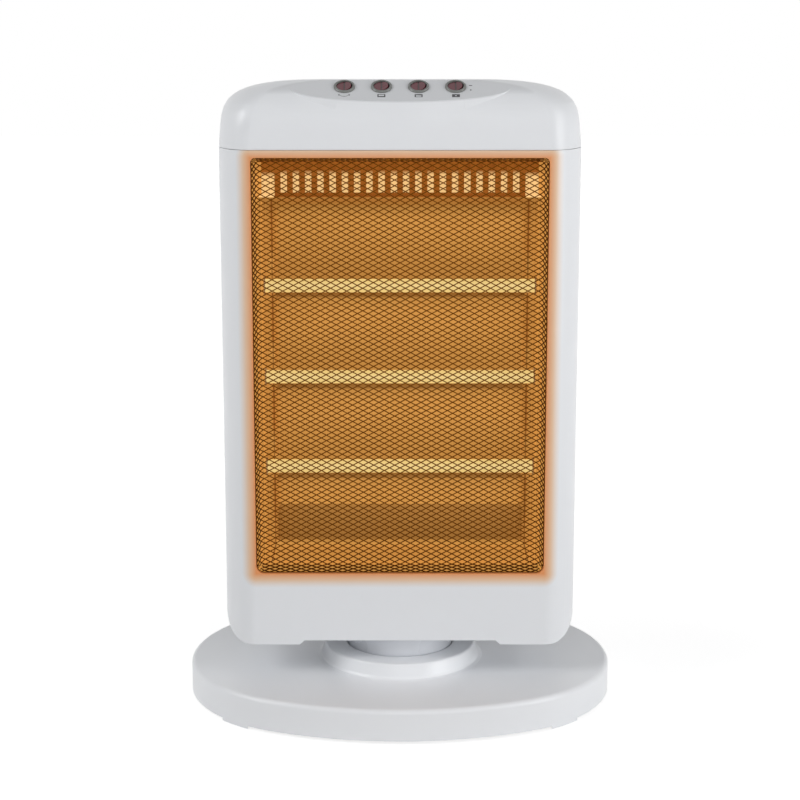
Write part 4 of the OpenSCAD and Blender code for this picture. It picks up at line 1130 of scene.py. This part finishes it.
class BuildTubes(bpy.types.Operator):
    """Give the lit tubes, their filaments and the comb their finishes"""

    bl_idname = "heater.tubes"
    bl_label = "Tubes"

    def execute(self, context):
        glass = glowing("lit quartz", (0.2, 0.14, 0.05, 1.0), (1.0, 0.72, 0.26, 1.0), 0.74,
                        60.0, 0.08, 0.16)
        wire = glowing("hot filament", (0.4, 0.3, 0.2, 1.0), (1.0, 0.75, 0.4, 1.0), 1.7,
                       200.0, 0.4, 0.6)
        for k in (1, 2, 3):
            coat(glass, f"tube_{k}")
            coat(wire, f"filament_{k}")
        coat(comb_finish("comb sheet"), "vent_comb")
        return {"FINISHED"}


def coat(material, *nodes):
    """Gives CAD nodes a finish."""
    for name in nodes:
        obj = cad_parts[name]
        obj.data.materials.clear()
        obj.data.materials.append(material)


ROCKER_LINE = (0.0004, 0.0009)      # half width: dark, and out to where it ends


def rocker_finish(name, colour):
    """Glossy dark red plastic with a darker line across the middle of each rocker."""
    material = moulded(name, colour, 0.25)
    tree, shader = tree_of(material)
    place = maths(tree, "ADD", maths(tree, "DIVIDE", own_axes(tree)[0], SWITCH_PITCH), 0.5)
    off = maths(tree, "SUBTRACT", place, maths(tree, "ROUND", place))
    dark, end = (half / SWITCH_PITCH for half in ROCKER_LINE)
    line = ramped(tree, maths(tree, "ABSOLUTE", off), dark, end)
    tree.links.new(mix_colours(tree, line, toned(colour, 0.3), colour),
                   shader.inputs["Base Color"])
    return material


class BuildFinishes(bpy.types.Operator):
    """Give the foot, the hub, the switches and the inner parts their finishes"""

    bl_idname = "heater.finishes"
    bl_label = "Other finishes"

    def execute(self, context):
        coat(moulded("white foot", colour_of("foot")), "base_cover", "cord_bush")
        coat(moulded("pale hub", colour_of("hub"), 0.28), "swivel_hub")
        coat(moulded("switch bezel", colour_of("bezel"), 0.35),
             *[f"switch_body_{k}" for k in (1, 2, 3, 4)])
        coat(rocker_finish("switch rocker", colour_of("rocker")),
             *[f"rocker_{k}" for k in (1, 2, 3, 4)])
        coat(moulded("inner plastic", (0.66, 0.66, 0.63, 1.0), 0.5),
             "thrust_washer", "crank_arm", "tip_plunger", "terminal_block")
        coat(moulded("black plastic", (0.02, 0.02, 0.02, 1.0), 0.5),
             "base_plate", "tip_housing", "thermal_cutout")
        coat(moulded("foot rubber", (0.03, 0.03, 0.03, 1.0), 0.7, 700.0, 0.00006), "foot_pads")
        coat(moulded("cable jacket", (0.05, 0.05, 0.055, 1.0), 0.5), "base_lead", "wiring_loom")
        coat(glazed("steatite", (0.60, 0.42, 0.22, 1.0), 0.45),
             "ceramic_caps_left", "ceramic_caps_right")
        coat(sheet_metal("zinc sheet", (0.55, 0.56, 0.58, 1.0), 0.35),
             "head_floor", "heat_shield", "bracket_left", "bracket_right", "swing_motor",
             "motor_shaft", "swing_arm")
        coat(sheet_metal("bright screws", (0.6, 0.6, 0.6, 1.0), 0.25),
             "base_screws", "motor_screws", "hub_screws", "rear_screws", "cap_screws",
             "tip_spring", "retaining_ring")
        coat(sheet_metal("brass", (0.75, 0.55, 0.25, 1.0), 0.3), "switch_terminals")
        return {"FINISHED"}


# ---- Stage ----

CAMERA_BACK = 1.5336
CAMERA_HEIGHT = 0.5894
CAMERA_PITCH = 11.24
CAMERA_LENS = 84.7
CAMERA_SHIFT = -0.05
LAMPS = (       # name, watts, place, height it aims at, size
    ("front low", 9.4, (0.3, -3.0, 0.45), 0.28, 1.6),
    ("front high", 5.0, (0.4, -2.6, 1.8), 0.28, 1.6),
    ("left side", 38.0, (-2.4, -1.0, 1.7), 0.25, 1.4),
    ("right side", 18.5, (2.4, -1.0, 1.7), 0.25, 1.4),
    ("right low", 25.0, (2.2, -1.4, 0.4), 0.25, 1.2))
WORLD_LIGHT = 0.17
WHITE = (1.0, 1.0, 1.0, 1.0)
FLOOR_TONE = (0.8, 0.8, 0.8, 1.0)
FLOOR_SEEN_TONE = (0.45, 0.45, 0.45, 1.0)
FLOOR_LIGHT = (0.8, 1.0)        # near the heater, far from it
FLOOR_FADE = (0.3, 1.0)         # distances between which it changes


def place_in_scene(name, data, place, turn):
    obj = bpy.data.objects.new(name, data)
    obj.location = place
    obj.rotation_euler = turn
    bpy.context.scene.collection.objects.link(obj)
    return obj


def lamp(name, energy, place, aim, size):
    light = bpy.data.lights.new(name, "AREA")
    light.energy = energy
    light.size = size
    way = Vector((0.0, 0.0, aim)) - Vector(place)
    place_in_scene(name, light, place, way.to_track_quat("-Z", "Y").to_euler())


def seen_white(tree, plain, white):
    """Mixes two shaders: white for camera, glossy and transmission rays, plain for the rest."""
    path = add_node(tree, "LightPath")
    seen = maths(tree, "MAXIMUM", path.outputs["Is Camera Ray"], path.outputs["Is Glossy Ray"])
    seen = maths(tree, "MAXIMUM", seen, path.outputs["Is Transmission Ray"])
    mixed = add_node(tree, "MixShader",
                     [(0, seen), (1, plain.outputs[0]), (2, white.outputs[0])])
    return mixed.outputs[0]


def floor_material():
    material = bpy.data.materials.new("studio floor")
    material.use_nodes = True
    tree = material.node_tree
    tree.nodes.remove(tree.nodes["Principled BSDF"])
    plain = add_node(tree, "BsdfDiffuse", [("Color", FLOOR_TONE)])
    seen = add_node(tree, "BsdfDiffuse", [("Color", FLOOR_SEEN_TONE)])
    away = vector_maths(tree, "LENGTH", own_place(tree), output="Value")
    bright = add_node(tree, "Emission", [
        ("Color", WHITE), ("Strength", ramped(tree, away, *FLOOR_FADE, *FLOOR_LIGHT))])
    both = add_node(tree, "AddShader", [(0, seen.outputs[0]), (1, bright.outputs[0])])
    tree.links.new(seen_white(tree, plain, both), tree.nodes["Material Output"].inputs["Surface"])
    return material


class BuildStage(bpy.types.Operator):
    """Build the floor, the lights and the camera"""

    bl_idname = "heater.stage"
    bl_label = "Studio"

    def execute(self, context):
        scene = context.scene
        bm = bmesh.new()
        bmesh.ops.create_grid(bm, x_segments=1, y_segments=1, size=6.0)
        floor = loose_object(bm, "floor")
        floor.data.materials.append(floor_material())

        scene.world = bpy.data.worlds.new("studio")
        scene.world.use_nodes = True
        tree = scene.world.node_tree
        tree.nodes.clear()
        soft, white = (add_node(tree, "Background", [("Color", WHITE), ("Strength", v)])
                       for v in (WORLD_LIGHT, 1.0))
        add_node(tree, "OutputWorld", [("Surface", seen_white(tree, soft, white))])
        for settings in LAMPS:
            lamp(*settings)

        camera = bpy.data.cameras.new("camera")
        camera.lens = CAMERA_LENS
        camera.shift_y = CAMERA_SHIFT
        camera.clip_end = 50.0
        scene.camera = place_in_scene("camera", camera, (0.0, -CAMERA_BACK, CAMERA_HEIGHT),
                                      (math.radians(90 - CAMERA_PITCH), 0.0, 0.0))
        scene.view_settings.view_transform = "Standard"
        return {"FINISHED"}


STEPS = (BuildFrontFrame, BuildRearShell, BuildCap, BuildSymbols, BuildMesh, BuildReflector,
         BuildTubes, BuildFinishes, BuildStage)


class HeaterPanel(bpy.types.Panel):
    """Lists the sizes and the steps of the heater"""

    bl_idname = "VIEW3D_PT_heater"
    bl_label = "Halogen Heater"
    bl_space_type = "VIEW_3D"
    bl_region_type = "UI"
    bl_category = "Heater"

    def draw(self, context):
        for group in (sizes(), cap_sizes(), context.scene.heater_colours):
            box = self.layout.box()
            for name in group.__annotations__:
                box.prop(group, name)
        for step in STEPS:
            self.layout.operator(step.bl_idname)


GROUPS = (HeaterSizes, CapSizes, HeaterColours)


def register():
    for cls in GROUPS + STEPS + (HeaterPanel,):
        bpy.utils.register_class(cls)
    bpy.types.Scene.heater_sizes = bpy.props.PointerProperty(type=HeaterSizes)
    bpy.types.Scene.cap_sizes = bpy.props.PointerProperty(type=CapSizes)
    bpy.types.Scene.heater_colours = bpy.props.PointerProperty(type=HeaterColours)


def unregister():
    del bpy.types.Scene.heater_colours
    del bpy.types.Scene.cap_sizes
    del bpy.types.Scene.heater_sizes
    for cls in reversed(GROUPS + STEPS + (HeaterPanel,)):
        bpy.utils.unregister_class(cls)


def main():
    register()
    for step in STEPS:
        family, name = step.bl_idname.split(".")
        getattr(getattr(bpy.ops, family), name)()


if __name__ == "__main__":
    main()
